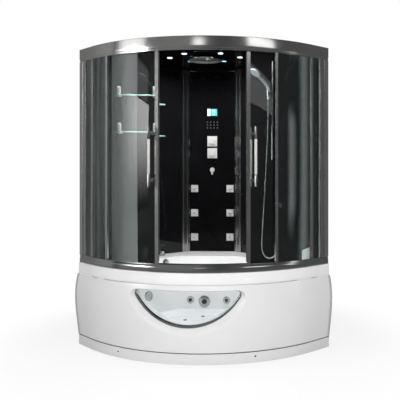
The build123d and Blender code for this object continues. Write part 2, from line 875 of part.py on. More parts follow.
# Display of the controls
with BuildPart() as display:
    with BuildSketch(column_plane(0.0, display_z)):
        Rectangle(display_width, display_height)
    extrude(amount=display_depth)
    with BuildSketch(column_plane(0.0, display_z, display_depth)):
        Rectangle(display_width - 2 * display_depth, display_height - 2 * display_depth)
    extrude(amount=-rail_wall / 2, mode=Mode.SUBTRACT)
display.part.label = "display"
export_step(display.part, "parts/display.step")

# Bright trim on the column: valve plates, jet plates and the robe hook
jet_places = [(x, z) for x in (-jet_x, jet_x) for z in jet_z]
with BuildPart() as column_trim:
    for x, z in jet_places:
        with BuildSketch(column_plane(x, z)):
            Rectangle(jet_plate_size, jet_plate_size)
            Rectangle(2 * (jet_barrel_half + fit_gap), 2 * (jet_barrel_radius + fit_gap), mode=Mode.SUBTRACT)
        extrude(amount=jet_plate_depth)
    for z in (upper_valve_z, lower_valve_z):
        with BuildSketch(column_plane(0.0, z)):
            Rectangle(valve_width, valve_height)
            Circle(valve_stem_radius + bearing_gap, mode=Mode.SUBTRACT)
        extrude(amount=valve_depth)
    with BuildSketch(column_plane(0.0, hook_z)):
        RegularPolygon(hook_radius, round_sides)
    extrude(amount=hook_depth, taper=trim_taper)
    with BuildSketch(column_plane(0.0, hook_z - hook_peg_length / 2, hook_depth / 2)):
        Rectangle(2 * hook_peg_radius, hook_peg_length + 2 * hook_peg_radius)
    extrude(amount=hook_depth)
    with BuildSketch(column_plane(0.0, hook_z - hook_peg_length, hook_depth)):
        RegularPolygon(hook_peg_radius, round_sides)
    extrude(amount=2 * hook_depth)
column_trim.part.label = "column_trim"
export_step(column_trim.part, "parts/column_trim.step")

# Knobs of the two valves: square knob on a round stem that turns in its plate
for name, z in (("temperature", upper_valve_z), ("selector", lower_valve_z)):
    with BuildPart() as valve_knob:
        with BuildSketch(column_plane(0.0, z, valve_depth + fit_gap)):
            Rectangle(valve_knob_size, valve_knob_size)
        extrude(amount=valve_knob_depth, taper=knob_taper)
        with BuildSketch(column_plane(0.0, z, -column_panel_thickness)):
            Circle(valve_stem_radius)
        extrude(amount=column_panel_thickness + valve_depth + fit_gap)
    valve_knob.part.label = f"{name}_knob"
    export_step(valve_knob.part, f"parts/{name}_knob.step")

# Barrel nozzles of the body jets, which tilt in their plates
for number, (x, z) in enumerate(jet_places, start=1):
    with BuildPart() as nozzle:
        with BuildSketch(Plane(origin=(x, column_y - jet_barrel_out, z), z_dir=(1, 0, 0))):
            Circle(jet_barrel_radius)
        extrude(amount=jet_barrel_half, both=True)
        with BuildSketch(column_plane(x, z, jet_barrel_out)):
            RegularPolygon(jet_tip_radius, round_sides)
        extrude(amount=jet_tip_length)
    nozzle.part.label = f"jet_nozzle_{number}"
    export_step(nozzle.part, f"parts/jet_nozzle_{number}.step")

# Roof: flat ceiling with raised edges, and a cove along the walls and the column
roof_front = flange_width - roof_lip + fit_gap
with BuildPart() as roof_panel:
    with BuildSketch(Plane.XY.offset(roof_z)):
        add(quadrant(roof_front, 0.0))
    extrude(amount=roof_thickness)
    with BuildSketch(Plane.XY.offset(roof_z + roof_thickness)):
        add(quadrant(roof_front, 0.0))
        add(quadrant(roof_front + roof_lip, roof_lip), mode=Mode.SUBTRACT)
    extrude(amount=flange_z - roof_z - roof_thickness)
    for cove_in, mode in ((fit_gap, Mode.ADD), (cove_width, Mode.SUBTRACT)):
        with BuildSketch(Plane.XY.offset(column_top_z)):
            add(quadrant(roof_front + roof_lip, wall_face + cove_in))
            with Locations((0.0, column_y - cove_in)):
                Rectangle(2 * wall_length, 2 * wall_length, align=(Align.CENTER, Align.MAX),
                          mode=Mode.INTERSECT)
        extrude(amount=cove_height, mode=mode)
roof_panel.part.label = "roof_panel"
export_step(roof_panel.part, "parts/roof_panel.step")

# Ceiling fittings: spots, rain head and vent grille
with BuildPart() as ceiling_spots:
    for x, back in spot_places:
        with BuildSketch(Plane(origin=(x, corner_y - back, roof_z), z_dir=(0, 0, -1))):
            RegularPolygon(spot_radius, round_sides)
        extrude(amount=spot_depth, taper=fitting_taper)
ceiling_spots.part.label = "ceiling_spots"
export_step(ceiling_spots.part, "parts/ceiling_spots.step")

with BuildPart() as rain_head:
    with BuildSketch(Plane(origin=(0, corner_y - rain_head_y, roof_z), z_dir=(0, 0, -1))):
        RegularPolygon(rain_neck_radius, round_sides)
    extrude(amount=rain_head_drop + rain_head_depth / 2)
    with BuildSketch(Plane(origin=(0, corner_y - rain_head_y, roof_z - rain_head_drop), z_dir=(0, 0, -1))):
        RegularPolygon(rain_head_radius, 3 * round_sides)
    extrude(amount=rain_head_depth)
    chamfer(rain_head.edges().group_by(Axis.Z)[0], length=rain_head_depth / 3)
rain_head.part.label = "rain_head"
export_step(rain_head.part, "parts/rain_head.step")

vent_x, vent_back = vent_place
vent_slots = 5
with BuildPart() as vent_cover:
    with BuildSketch(Plane(origin=(vent_x, corner_y - vent_back, roof_z), z_dir=(0, 0, -1))):
        Rectangle(vent_width, vent_length)
    extrude(amount=vent_depth)
    with BuildSketch(Plane(origin=(vent_x, corner_y - vent_back, roof_z - vent_depth), z_dir=(0, 0, -1))):
        with GridLocations(vent_width / (vent_slots + 1), 0, vent_slots, 1):
            Rectangle(vent_depth, vent_length - 4 * vent_depth)
    extrude(amount=-vent_depth / 2, mode=Mode.SUBTRACT)
vent_cover.part.label = "vent_cover"
export_step(vent_cover.part, "parts/vent_cover.step")

# Glass shelves on the left wall, with a clamp near each end
with BuildPart() as glass_shelves:
    for z in shelf_z:
        with BuildSketch(wall_plane(-1, (shelf_start + shelf_end) / 2, z, wall_face + bracket_plate)):
            Rectangle(shelf_end - shelf_start, shelf_thickness)
        extrude(amount=shelf_width)
    shelf_fronts = glass_shelves.faces().sort_by(Axis((0, 0, 0), (1, -1, 0)))[-len(shelf_z):]
    fillet(shelf_fronts.edges().filter_by(Axis.Z),
           radius=shelf_width / 4)
glass_shelves.part.label = "glass_shelves"
export_step(glass_shelves.part, "parts/glass_shelves.step")

bracket_foot = shelf_thickness / 2 + bracket_plate
bracket_bosses = (bracket_height - 2 * bracket_foot) / 3
with BuildPart() as shelf_brackets:
    for z in shelf_z:
        for along in (shelf_start + bracket_inset, shelf_end - bracket_inset):
            with BuildSketch(wall_plane(-1, along, z + bracket_height / 2 - bracket_foot)):
                Rectangle(bracket_width, bracket_height)
            extrude(amount=bracket_plate)
            with BuildSketch(wall_plane(-1, along, z)):
                Rectangle(bracket_width, 2 * bracket_foot)
                Rectangle(bracket_width, shelf_thickness, mode=Mode.SUBTRACT)
            extrude(amount=bracket_shelf_hold)
            for rise in (1, 2):
                with BuildSketch(wall_plane(-1, along, z + bracket_foot + rise * bracket_bosses)):
                    RegularPolygon(bracket_boss_radius, round_sides)
                extrude(amount=bracket_boss_length)
    add(glass_shelves.part, mode=Mode.SUBTRACT)
shelf_brackets.part.label = "shelf_brackets"
export_step(shelf_brackets.part, "parts/shelf_brackets.step")

# Steam outlet cover on the right wall
steam_slots = 4
with BuildPart() as steam_cover:
    with BuildSketch(wall_plane(1, steam_along, steam_z)):
        Rectangle(steam_size, steam_size)
    extrude(amount=steam_depth, taper=trim_taper)
    with BuildSketch(wall_plane(1, steam_along, steam_z - steam_size / 2)):
        with GridLocations(steam_size / (steam_slots + 1), 0, steam_slots, 1):
            Rectangle(steam_depth / 2, steam_depth * 2)
    extrude(amount=steam_depth * 2 / 3, mode=Mode.SUBTRACT)
steam_cover.part.label = "steam_cover"
export_step(steam_cover.part, "parts/steam_cover.step")

# Sliding doors: each is a curved pane in a slim frame that hangs from two rollers
axle_z = ledge_z + fit_gap + wheel_radius
axle_inset = hanger_inset + hanger_thickness
axle_length = wheel_inset - axle_inset + wheel_width + bearing_gap + axle_head_thickness
door_frame_height = door_head_z - door_foot_z
lead_sweep = degrees(lead_width / door_outer)
trail_sweep = degrees(trail_width / door_outer)
glass_gap_angle = degrees(fit_gap / door_inner)
handle_sweep = degrees(handle_edge_distance / door_outer)
handle_post_z = (handle_bottom_z + handle_post_inset, handle_bottom_z + handle_height - handle_post_inset)
handle_middle_z = handle_bottom_z + handle_height / 2
post_reach = door_outer + handle_stand_off + handle_bar_depth / 2
post_length = post_reach - door_inner + handle_stand_off + handle_bar_depth / 2
wheel_plane_radius = front_radius - wheel_inset - wheel_width

for side, name, open_angle in ((-1, "left", left_open_angle), (1, "right", right_open_angle)):
    lead_angle = meeting_angle + side * (open_angle + meeting_gap_angle)
    trail_angle = meeting_angle + side * (open_angle + door_angle)
    lead_in = lead_angle + side * lead_sweep
    trail_in = trail_angle - side * trail_sweep
    handle_angle = lead_angle + side * handle_sweep
    roller_angles = (lead_angle + side * roller_angle_inset, trail_angle - side * roller_angle_inset)

    with BuildPart() as door_glass:
        with BuildSketch(Plane.XY.offset(door_foot_z)):
            add(arc_strip(door_outer, door_inner, lead_in + side * glass_gap_angle,
                          trail_in - side * glass_gap_angle))
        extrude(amount=door_glass_top_z - fit_gap - door_foot_z)
        for z in handle_post_z:
            with BuildSketch(radial_plane(handle_angle, door_inner - handle_stand_off, z)):
                Circle(handle_post_radius + fit_gap)
            extrude(amount=2 * handle_stand_off, mode=Mode.SUBTRACT)
    door_glass.part.label = f"{name}_door_glass"
    export_step(door_glass.part, f"parts/{name}_door_glass.step")

    with BuildPart() as door_frame:
        with BuildSketch(Plane.XY.offset(door_foot_z)):
            add(arc_strip(stile_outer, stile_inner, lead_angle, lead_in))
            add(arc_strip(stile_outer, stile_inner, trail_in, trail_angle))
        extrude(amount=door_frame_height)
        with BuildSketch(Plane.XY.offset(door_glass_top_z)):
            add(arc_strip(stile_outer, stile_inner, lead_angle, trail_angle))
        extrude(amount=top_rail_height)
        for angle in roller_angles:
            with BuildSketch(radial_plane(angle, front_radius - axle_inset, door_head_z)):
                with Locations((0, (axle_z + hanger_width / 2 - door_head_z) / 2)):
                    Rectangle(hanger_width, axle_z + hanger_width / 2 - door_head_z)
                with Locations((0, -top_rail_height / 4)):
                    Rectangle(hanger_width, top_rail_height / 2)
            extrude(amount=hanger_thickness)
            with BuildSketch(radial_plane(angle, front_radius - axle_inset, axle_z)):
                Circle(axle_radius)
            extrude(amount=-axle_length)
            with BuildSketch(radial_plane(angle, wheel_plane_radius - bearing_gap, axle_z)):
                Circle(axle_head_radius)
            extrude(amount=-axle_head_thickness)
    door_frame.part.label = f"{name}_door_frame"
    export_step(door_frame.part, f"parts/{name}_door_frame.step")

    for place, angle in zip(("lead", "trail"), roller_angles):
        with BuildPart() as roller:
            with BuildSketch(radial_plane(angle, wheel_plane_radius, axle_z)):
                Circle(wheel_radius)
                Circle(axle_radius + bearing_gap, mode=Mode.SUBTRACT)
            extrude(amount=wheel_width)
        roller.part.label = f"{name}_{place}_roller"
        export_step(roller.part, f"parts/{name}_{place}_roller.step")

    # Handle: one bar outside, one inside, joined by two posts through the glass
    with BuildPart() as handle:
        for inward in (0, 1):
            bar_face = door_inner - handle_stand_off if inward else post_reach + handle_bar_depth / 2
            with BuildSketch(radial_plane(handle_angle, bar_face, handle_middle_z)):
                RectangleRounded(handle_bar_width, handle_height, handle_sleeve_extra)
            extrude(amount=-handle_bar_depth)
            with BuildSketch(radial_plane(handle_angle, bar_face + handle_sleeve_extra, handle_middle_z)):
                Rectangle(handle_bar_width + 2 * handle_sleeve_extra, handle_sleeve_height)
            extrude(amount=-handle_bar_depth - 2 * handle_sleeve_extra)
        for z in handle_post_z:
            with BuildSketch(radial_plane(handle_angle, post_reach, z)):
                Circle(handle_post_radius)
            extrude(amount=-post_length)
    handle.part.label = f"{name}_door_handle"
    export_step(handle.part, f"parts/{name}_door_handle.step")

# Slide bar of the hand shower, on two wall mounts
bar_x, bar_y = wall_point(1, bar_along, bar_away)
bar_top_z = roof_z - bar_roof_gap
bar_bottom_z = bar_top_z - bar_length
slider_z = bar_top_z - slider_drop
head_z = slider_z + head_rise
with BuildPart() as slide_bar:
    with BuildSketch(Plane(origin=(bar_x, bar_y, bar_bottom_z), z_dir=(0, 0, 1))):
        Circle(bar_radius)
    extrude(amount=bar_top_z - bar_bottom_z)
    for z in (bar_bottom_z + bar_mount_inset, bar_top_z - bar_mount_inset):
        with BuildSketch(wall_plane(1, bar_along, z)):
            RegularPolygon(bar_mount_radius, round_sides)
        extrude(amount=bar_away - wall_face)
        with BuildSketch(wall_plane(1, bar_along, z)):
            RegularPolygon(bar_mount_radius + bar_radius, round_sides)
        extrude(amount=bar_radius, taper=trim_taper)
slide_bar.part.label = "slide_bar"
export_step(slide_bar.part, "parts/slide_bar.step")

# Slider on the bar, with two cheeks that hold the pin of the tilting holder
pin_away = bar_away + slider_outer_radius + cheek_reach
cheek_inside = knuckle_width / 2 + fit_gap
cheek_outside = cheek_inside + cheek_thickness
with BuildPart() as slider:
    with BuildSketch(Plane(origin=(bar_x, bar_y, slider_z - slider_height / 2), z_dir=(0, 0, 1))):
        Circle(slider_outer_radius)
    extrude(amount=slider_height)
    for cheek_along in (bar_along + cheek_outside, bar_along - cheek_inside):
        with BuildSketch(side_plane(cheek_along, pin_away, slider_z)):
            Circle(knuckle_radius)
            with Locations((-(pin_away - bar_away) / 2, 0)):
                Rectangle(pin_away - bar_away, 2 * knuckle_radius)
        extrude(amount=cheek_thickness)
    with BuildSketch(side_plane(bar_along + cheek_outside, pin_away, slider_z)):
        Circle(pin_radius)
    extrude(amount=2 * cheek_outside)
    with BuildSketch(Plane(origin=(bar_x, bar_y, slider_z - slider_height), z_dir=(0, 0, 1))):
        Circle(bar_radius + fit_gap)
    extrude(amount=2 * slider_height, mode=Mode.SUBTRACT)
slider.part.label = "slider"
export_step(slider.part, "parts/slider.step")

# Holder: open-ended cup with a knuckle that turns on the slider's pin
cup_away = pin_away + knuckle_radius + holder_clearance + holder_radius
cup_bottom_z = slider_z - holder_height / 2
cup_x, cup_y = wall_point(1, bar_along, cup_away)
with BuildPart() as shower_holder:
    with BuildSketch(Plane(origin=(cup_x, cup_y, cup_bottom_z), z_dir=(0, 0, 1))):
        RegularPolygon(holder_radius, round_sides)
    extrude(amount=holder_height)
    with BuildSketch(side_plane(bar_along + knuckle_width / 2, pin_away, slider_z)):
        Circle(knuckle_radius)
        with Locations(((cup_away - pin_away) / 2, 0)):
            Rectangle(cup_away - pin_away, 2 * knuckle_radius)
    extrude(amount=knuckle_width)
    with BuildSketch(side_plane(bar_along + knuckle_width, pin_away, slider_z)):
        Circle(pin_radius + bearing_gap)
    extrude(amount=2 * knuckle_width, mode=Mode.SUBTRACT)
    with BuildSketch(Plane(origin=(cup_x, cup_y, cup_bottom_z - holder_height), z_dir=(0, 0, 1))):
        Circle(grip_radius + fit_gap)
    extrude(amount=3 * holder_height, mode=Mode.SUBTRACT)
shower_holder.part.label = "shower_holder"
export_step(shower_holder.part, "parts/shower_holder.step")

# Hand shower: round grip that bends over to a flat spray head, with the hose nut at its foot
grip_bottom_z = cup_bottom_z - grip_foot
collar_z = cup_bottom_z + holder_height + fit_gap
head_turn = radians(head_lean)
head_side = (cos(head_turn), sin(head_turn))
head_back = (-sin(head_turn), cos(head_turn))
neck_away = head_away - shower_head_radius / 2 * head_side[0]
neck_z = head_z - shower_head_radius / 2 * head_side[1]
grip_points = [(cup_away, grip_bottom_z), (cup_away, collar_z + grip_bend_rise),
               (cup_away + grip_bend_reach, collar_z + 2 * grip_bend_rise + grip_collar_height),
               (neck_away, neck_z)]
grip_route = [Vector(*wall_point(1, bar_along, away), z) for away, z in grip_points]
nut_bottom_z = grip_bottom_z - nut_height
with BuildPart() as hand_shower:
    with BuildLine() as grip_path:
        FilletPolyline(*grip_route, radius=bend_radii(grip_route))
    with BuildSketch(Plane(origin=(cup_x, cup_y, grip_bottom_z), z_dir=(0, 0, 1))):
        Circle(grip_radius)
    sweep()
    with BuildSketch(Plane(origin=(cup_x, cup_y, collar_z), z_dir=(0, 0, 1))):
        RegularPolygon(grip_collar_radius, round_sides)
    extrude(amount=grip_collar_height)
    with BuildSketch(Plane(origin=(cup_x, cup_y, nut_bottom_z), z_dir=(0, 0, 1))):
        RegularPolygon(nut_radius, 8)
    extrude(amount=nut_height)
    head_x, head_y = wall_point(1, bar_along, head_away)
    head_normal = (-head_back[0] / root_two, -head_back[0] / root_two, head_back[1])
    face_x = head_x + shower_head_depth / 2 * head_back[0] / root_two
    face_y = head_y + shower_head_depth / 2 * head_back[0] / root_two
    face_z = head_z - shower_head_depth / 2 * head_back[1]
    with BuildSketch(Plane(origin=(face_x, face_y, face_z), z_dir=head_normal)):
        RegularPolygon(shower_head_radius, 2 * round_sides)
    extrude(amount=shower_head_depth / 2)
    with BuildSketch(Plane(origin=(head_x, head_y, head_z), z_dir=head_normal)):
        RegularPolygon(shower_head_radius, 2 * round_sides)
    extrude(amount=shower_head_depth / 2, taper=head_taper)
hand_shower.part.label = "hand_shower"
export_step(hand_shower.part, "parts/hand_shower.step")

# Wall elbow that feeds the hose
elbow_x, elbow_y = wall_point(1, elbow_along, elbow_away)
elbow_outlet_z = elbow_z - elbow_drop
with BuildPart() as wall_elbow:
    with BuildSketch(wall_plane(1, elbow_along, elbow_z)):
        RegularPolygon(elbow_plate_radius, round_sides)
    extrude(amount=elbow_plate_depth)
    with BuildSketch(wall_plane(1, elbow_along, elbow_z)):
        RegularPolygon(elbow_radius, round_sides)
    extrude(amount=elbow_away - wall_face)
    with BuildSketch(Plane(origin=(elbow_x, elbow_y, elbow_outlet_z + nut_height), z_dir=(0, 0, 1))):
        RegularPolygon(elbow_radius, round_sides)
    extrude(amount=elbow_drop + elbow_radius - nut_height)
    with BuildSketch(Plane(origin=(elbow_x, elbow_y, elbow_outlet_z), z_dir=(0, 0, 1))):
        RegularPolygon(nut_radius, 8)
    extrude(amount=nut_height)
wall_elbow.part.label = "wall_elbow"
export_step(wall_elbow.part, "parts/wall_elbow.step")

# Hose from the hand shower down to a loop and up to the elbow: straight runs and tangent arcs
hose_top_z = nut_bottom_z - fit_gap
hose_points = [
    (bar_along, cup_away, hose_top_z),
    *[(along, away, hose_loop_z + part * (hose_top_z - hose_loop_z)) for along, away, part in hose_fall],
    *[(along, away, hose_loop_z + rise) for along, away, rise in hose_turn],
    (elbow_along, elbow_away, hose_loop_z + hose_last_rise),
    (elbow_along, elbow_away, elbow_outlet_z - fit_gap),
]
hose_route = [Vector(*wall_point(1, along, away), z) for along, away, z in hose_points]
hose_radii = bend_radii(hose_route)
with BuildPart() as shower_hose:
    with BuildLine() as hose_path:
        FilletPolyline(*hose_route, radius=hose_radii)
    with BuildSketch(Plane(origin=hose_route[0], z_dir=hose_route[1] - hose_route[0])):
        Circle(hose_radius)
    sweep()
shower_hose.part.label = "shower_hose"
export_step(shower_hose.part, "parts/shower_hose.step")
hose_length = hose_path.wire().length
print("hose bend radii", [round(radius) for radius in hose_radii], "length", round(hose_length))
print("hose volume", round(shower_hose.part.volume))
print("section times length", round(pi * hose_radius**2 * hose_length))

# Tub fittings: jets, suction grille, inlet and overflow on the basin's walls, air jets on its floor
grille_slots = 7
with BuildPart() as tub_fittings:
    for side, along, z, radius in ((0, -tub_jet_x, tub_jet_z, tub_jet_radius),
                                   (0, tub_jet_x, tub_jet_z, tub_jet_radius),
                                   (-1, inlet_along, inlet_z, inlet_radius)):
        seat = basin_wall_plane(side, along, z).offset(fit_gap)
        with BuildSketch(seat):
            RegularPolygon(radius, round_sides)
        extrude(amount=tub_fitting_depth, taper=fitting_taper)
        with BuildSketch(seat.offset(tub_fitting_depth)):
            RegularPolygon(radius / 2, round_sides)
            RegularPolygon(radius / 4, round_sides, mode=Mode.SUBTRACT)
        extrude(amount=-tub_fitting_depth / 2, mode=Mode.SUBTRACT)
    suction_seat = basin_wall_plane(0, suction_x, suction_z).offset(fit_gap)
    with BuildSketch(suction_seat):
        RegularPolygon(suction_radius, 2 * round_sides)
    extrude(amount=tub_fitting_depth, taper=fitting_taper)
    with BuildSketch(suction_seat.offset(tub_fitting_depth)):
        with GridLocations(0, suction_radius / 4, 1, grille_slots):
            Rectangle(suction_radius, suction_radius / grille_slots)
    extrude(amount=-tub_fitting_depth / 2, mode=Mode.SUBTRACT)
    overflow_seat = basin_wall_plane(-1, overflow_along, overflow_z).offset(fit_gap)
    with BuildSketch(overflow_seat):
        RegularPolygon(overflow_radius, round_sides)
    extrude(amount=overflow_depth, taper=trim_taper)
    with BuildSketch(overflow_seat):
        Circle(overflow_stem_radius + bearing_gap)
    extrude(amount=overflow_depth, mode=Mode.SUBTRACT)
    for x, back in air_jet_places:
        with BuildSketch(Plane.XY.offset(basin_floor_z + fit_gap)):
            with Locations((x, corner_y - back)):
                RegularPolygon(air_jet_radius, round_sides)
        extrude(amount=air_jet_depth, taper=fitting_taper)
tub_fittings.part.label = "tub_fittings"
export_step(tub_fittings.part, "parts/tub_fittings.step")

with BuildPart() as overflow_knob:
    with BuildSketch(overflow_seat):
        Circle(overflow_stem_radius)
    extrude(amount=overflow_depth + fit_gap)
    with BuildSketch(overflow_seat.offset(overflow_depth + fit_gap)):
        RegularPolygon(overflow_knob_radius, tap_flutes)
    extrude(amount=overflow_knob_depth)
overflow_knob.part.label = "overflow_knob"
export_step(overflow_knob.part, "parts/overflow_knob.step")

# Deck taps on the left deck: fixed bases with stems, and fluted handles that turn on them
with BuildPart() as tap_bases:
    for name, along in tap_places:
        tap_x, tap_y = wall_point(-1, along, tap_away)
        with BuildSketch(Plane(origin=(tap_x, tap_y, deck_z), z_dir=(0, 0, 1))):
            RegularPolygon(tap_base_radius, round_sides)
        extrude(amount=tap_base_height, taper=trim_taper)
        with BuildSketch(Plane(origin=(tap_x, tap_y, deck_z), z_dir=(0, 0, 1))):
            Circle(tap_stem_radius)
        extrude(amount=tap_base_height + tap_stem_height)
tap_bases.part.label = "tap_bases"
export_step(tap_bases.part, "parts/tap_bases.step")

tap_handle_z = deck_z + tap_base_height + fit_gap
for name, along in tap_places:
    tap_x, tap_y = wall_point(-1, along, tap_away)
    with BuildPart() as tap_handle:
        with BuildSketch(Plane(origin=(tap_x, tap_y, tap_handle_z), z_dir=(0, 0, 1))):
            RegularPolygon(tap_handle_radius, tap_flutes)
            RegularPolygon(tap_handle_radius, tap_flutes, rotation=180 / tap_flutes)
        extrude(amount=tap_handle_height)
        with BuildSketch(Plane(origin=(tap_x, tap_y, tap_handle_z), z_dir=(0, 0, 1))):
            Circle(tap_stem_radius + bearing_gap)
        extrude(amount=tap_stem_height, mode=Mode.SUBTRACT)
    tap_handle.part.label = f"{name}_tap_handle"
    export_step(tap_handle.part, f"parts/{name}_tap_handle.step")

# Waste outlet: flange on the basin floor, nut below it and a spigot for the drain pipe
with BuildPart() as waste_outlet:
    with BuildSketch(Plane(origin=(drain_x, drain_y, trap_outlet_z), z_dir=(0, 0, 1))):
        Circle(trap_pipe_radius)
    extrude(amount=basin_floor_z + fit_gap - trap_outlet_z)
    with BuildSketch(Plane(origin=(drain_x, drain_y, basin_floor_z + fit_gap), z_dir=(0, 0, 1))):
        RegularPolygon(drain_radius, 2 * round_sides)
    extrude(amount=drain_flange_depth, taper=fitting_taper)
    with BuildSketch(Plane((drain_x, drain_y, basin_floor_z + fit_gap + drain_flange_depth))):
        with PolarLocations(drain_hole_radius / 2, tap_flutes):
            RegularPolygon(drain_flange_depth, tap_flutes)
    extrude(amount=-drain_flange_depth / 2, mode=Mode.SUBTRACT)
    with BuildSketch(Plane((drain_x, drain_y, basin_floor_z - shell_thickness - fit_gap), z_dir=(0, 0, -1))):
        RegularPolygon(drain_radius, 8)
    extrude(amount=shell_thickness)
waste_outlet.part.label = "waste_outlet"
export_step(waste_outlet.part, "parts/waste_outlet.step")

# Support frame: a ring of square tube under the tub, two beams across and uprights to the deck
frame_top_z = basin_floor_z - shell_thickness
frame_bottom_z = frame_top_z - frame_tube
frame_inside = frame_inset + frame_tube
frame_middle = frame_inset + frame_tube / 2
wall_uprights = [(side, along) for side in sides for along in upright_alongs]
front_uprights = (-front_upright_angle, front_upright_angle)
with BuildPart() as support_frame:
    with BuildSketch(Plane.XY.offset(frame_bottom_z)):
        add(quadrant(frame_inset, frame_inset))
        add(quadrant(frame_inside, frame_inside), mode=Mode.SUBTRACT)
    extrude(amount=frame_tube)
    with BuildSketch(Plane.XY.offset(frame_bottom_z)):
        with GridLocations(2 * frame_beam_x, 0, 2, 1):
            Rectangle(frame_tube, 2 * front_reach)
        add(quadrant(frame_middle, frame_middle), mode=Mode.INTERSECT)
    extrude(amount=frame_tube)
    for side, along in wall_uprights:
        with BuildSketch(wall_plane(side, along, frame_bottom_z, frame_inset)):
            with Locations((0, (deck_z - deck_thickness - frame_bottom_z) / 2)):
                Rectangle(frame_tube, deck_z - deck_thickness - frame_bottom_z)
        extrude(amount=frame_tube)
    for angle in front_uprights:
        with BuildSketch(radial_plane(angle, front_radius - frame_inside, frame_bottom_z)):
            with Locations((0, (deck_z - deck_thickness - frame_bottom_z) / 2)):
                Rectangle(frame_tube, deck_z - deck_thickness - frame_bottom_z)
        extrude(amount=frame_tube)
support_frame.part.label = "support_frame"
export_step(support_frame.part, "parts/support_frame.step")

# Levelling feet below the frame
foot_places = [wall_point(side, along, frame_middle) for side, along in wall_uprights]
foot_places += [arc_point(angle, front_radius - frame_middle) for angle in (*front_uprights, 0.0)]
with BuildPart() as levelling_feet:
    with BuildSketch():
        with Locations(*foot_places):
            RegularPolygon(foot_radius, round_sides)
    extrude(amount=foot_height, taper=trim_taper)
    with BuildSketch():
        with Locations(*foot_places):
            RegularPolygon(foot_stud_radius, round_sides)
    extrude(amount=frame_bottom_z)
levelling_feet.part.label = "levelling_feet"
export_step(levelling_feet.part, "parts/levelling_feet.step")

# Massage pump on the floor under the right deck: motor, wet end, outlet and two feet
pump_z = pump_foot_height + pump_head_radius
pump_total = pump_head_length + pump_length
pump_away = frame_inside + fit_gap + sqrt(pump_head_radius**2 - (frame_bottom_z - pump_z) ** 2)
with BuildPart() as massage_pump:
    with BuildSketch(side_plane(pump_along + pump_total, pump_away, pump_z)):
        Circle(pump_radius)
    extrude(amount=pump_total)
    with BuildSketch(side_plane(pump_along + pump_head_length, pump_away, pump_z)):
        Circle(pump_head_radius)
    extrude(amount=pump_head_length)
    pump_x, pump_y = wall_point(1, pump_along + pump_head_length / 2, pump_away)
    with BuildSketch(Plane(origin=(pump_x, pump_y, pump_z), z_dir=(0, 0, 1))):
        Circle(pump_pipe_radius)
    extrude(amount=pump_head_radius + pump_pipe_length)
    for along in (pump_along + pump_head_length + pump_foot_width, pump_along + pump_total - pump_foot_width):
        with BuildSketch(side_plane(along + pump_foot_width / 2, pump_away, pump_z / 2)):
            Rectangle(2 * pump_radius, pump_z)
        extrude(amount=pump_foot_width)
        with BuildSketch(side_plane(along + pump_foot_width, pump_away, 0.0)):
            Circle(pump_radius)
        extrude(amount=2 * pump_foot_width, mode=Mode.SUBTRACT)
massage_pump.part.label = "massage_pump"
export_step(massage_pump.part, "parts/massage_pump.step")
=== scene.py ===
"""Corner bath enclosure: a massage tub under a quarter-round steam shower cabin, dressed for rendering.

The file is laid out as an add-on and run as a script. Sizes are metres. The walls meet at +Y, the round
front faces -Y, and every piece stands where the CAD frame has it.
"""

import math

import bmesh
import bpy
import numpy as np
from bpy.props import FloatProperty, FloatVectorProperty, IntProperty, PointerProperty
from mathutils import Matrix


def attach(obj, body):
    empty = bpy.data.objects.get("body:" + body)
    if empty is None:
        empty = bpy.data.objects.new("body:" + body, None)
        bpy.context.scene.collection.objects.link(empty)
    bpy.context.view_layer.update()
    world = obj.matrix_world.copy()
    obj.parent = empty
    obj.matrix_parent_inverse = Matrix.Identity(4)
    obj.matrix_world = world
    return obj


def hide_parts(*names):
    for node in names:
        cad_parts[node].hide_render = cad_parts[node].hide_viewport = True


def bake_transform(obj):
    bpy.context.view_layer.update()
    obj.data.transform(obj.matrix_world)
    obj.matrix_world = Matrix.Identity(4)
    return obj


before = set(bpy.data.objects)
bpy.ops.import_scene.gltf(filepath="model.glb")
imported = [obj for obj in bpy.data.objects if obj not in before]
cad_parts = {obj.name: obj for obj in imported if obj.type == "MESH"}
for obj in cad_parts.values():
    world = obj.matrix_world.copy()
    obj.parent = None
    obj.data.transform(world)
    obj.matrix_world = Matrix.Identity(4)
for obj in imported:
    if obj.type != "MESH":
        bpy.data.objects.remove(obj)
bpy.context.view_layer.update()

bl_info = {
    "name": "Corner bath enclosure",
    "version": (1, 0, 0),
    "blender": (4, 5, 0),
    "location": "3D View > Sidebar > Enclosure",
    "description": "Dresses the corner bath enclosure piece by piece",
    "category": "Object",
}

# Sizes shared with the CAD source
ROOT_TWO = math.sqrt(2.0)
FRONT_RADIUS = 1.170
WING_LENGTH = 0.180
FRONT_PROUD = 0.023
CORNER_Y = (WING_LENGTH * ROOT_TWO + FRONT_RADIUS + FRONT_PROUD) / 2
ARC_Y = CORNER_Y - WING_LENGTH * ROOT_TWO
COLUMN_Y = CORNER_Y - 0.232
RIM_Z = 0.631
DECK_Z = 0.620
RAIL_TOP_Z = 0.670
LIP_TOP_Z = 0.687
LIP_BOTTOM_Z = 2.170
FASCIA_BOTTOM_Z = 2.183
TOTAL_HEIGHT = 2.265
FLANGE_Z = 2.261
ROOF_Z = 2.225
GLASS_OUTER = FRONT_RADIUS - 0.010
DOOR_OUTER = FRONT_RADIUS - 0.030
WINDOW_X = -0.060
WINDOW_HALF = 0.384
WINDOW_TOP_Z = 0.514
WINDOW_BOTTOM_Z = 0.270
WINDOW_CORNER = 0.026
FRAME_GROW = 0.017
RECESS_GROW = 0.067
RECESS_PROUD = 0.004
SKIRT_TOP_Z = 0.549
SKIRT_BOTTOM_Z = 0.084
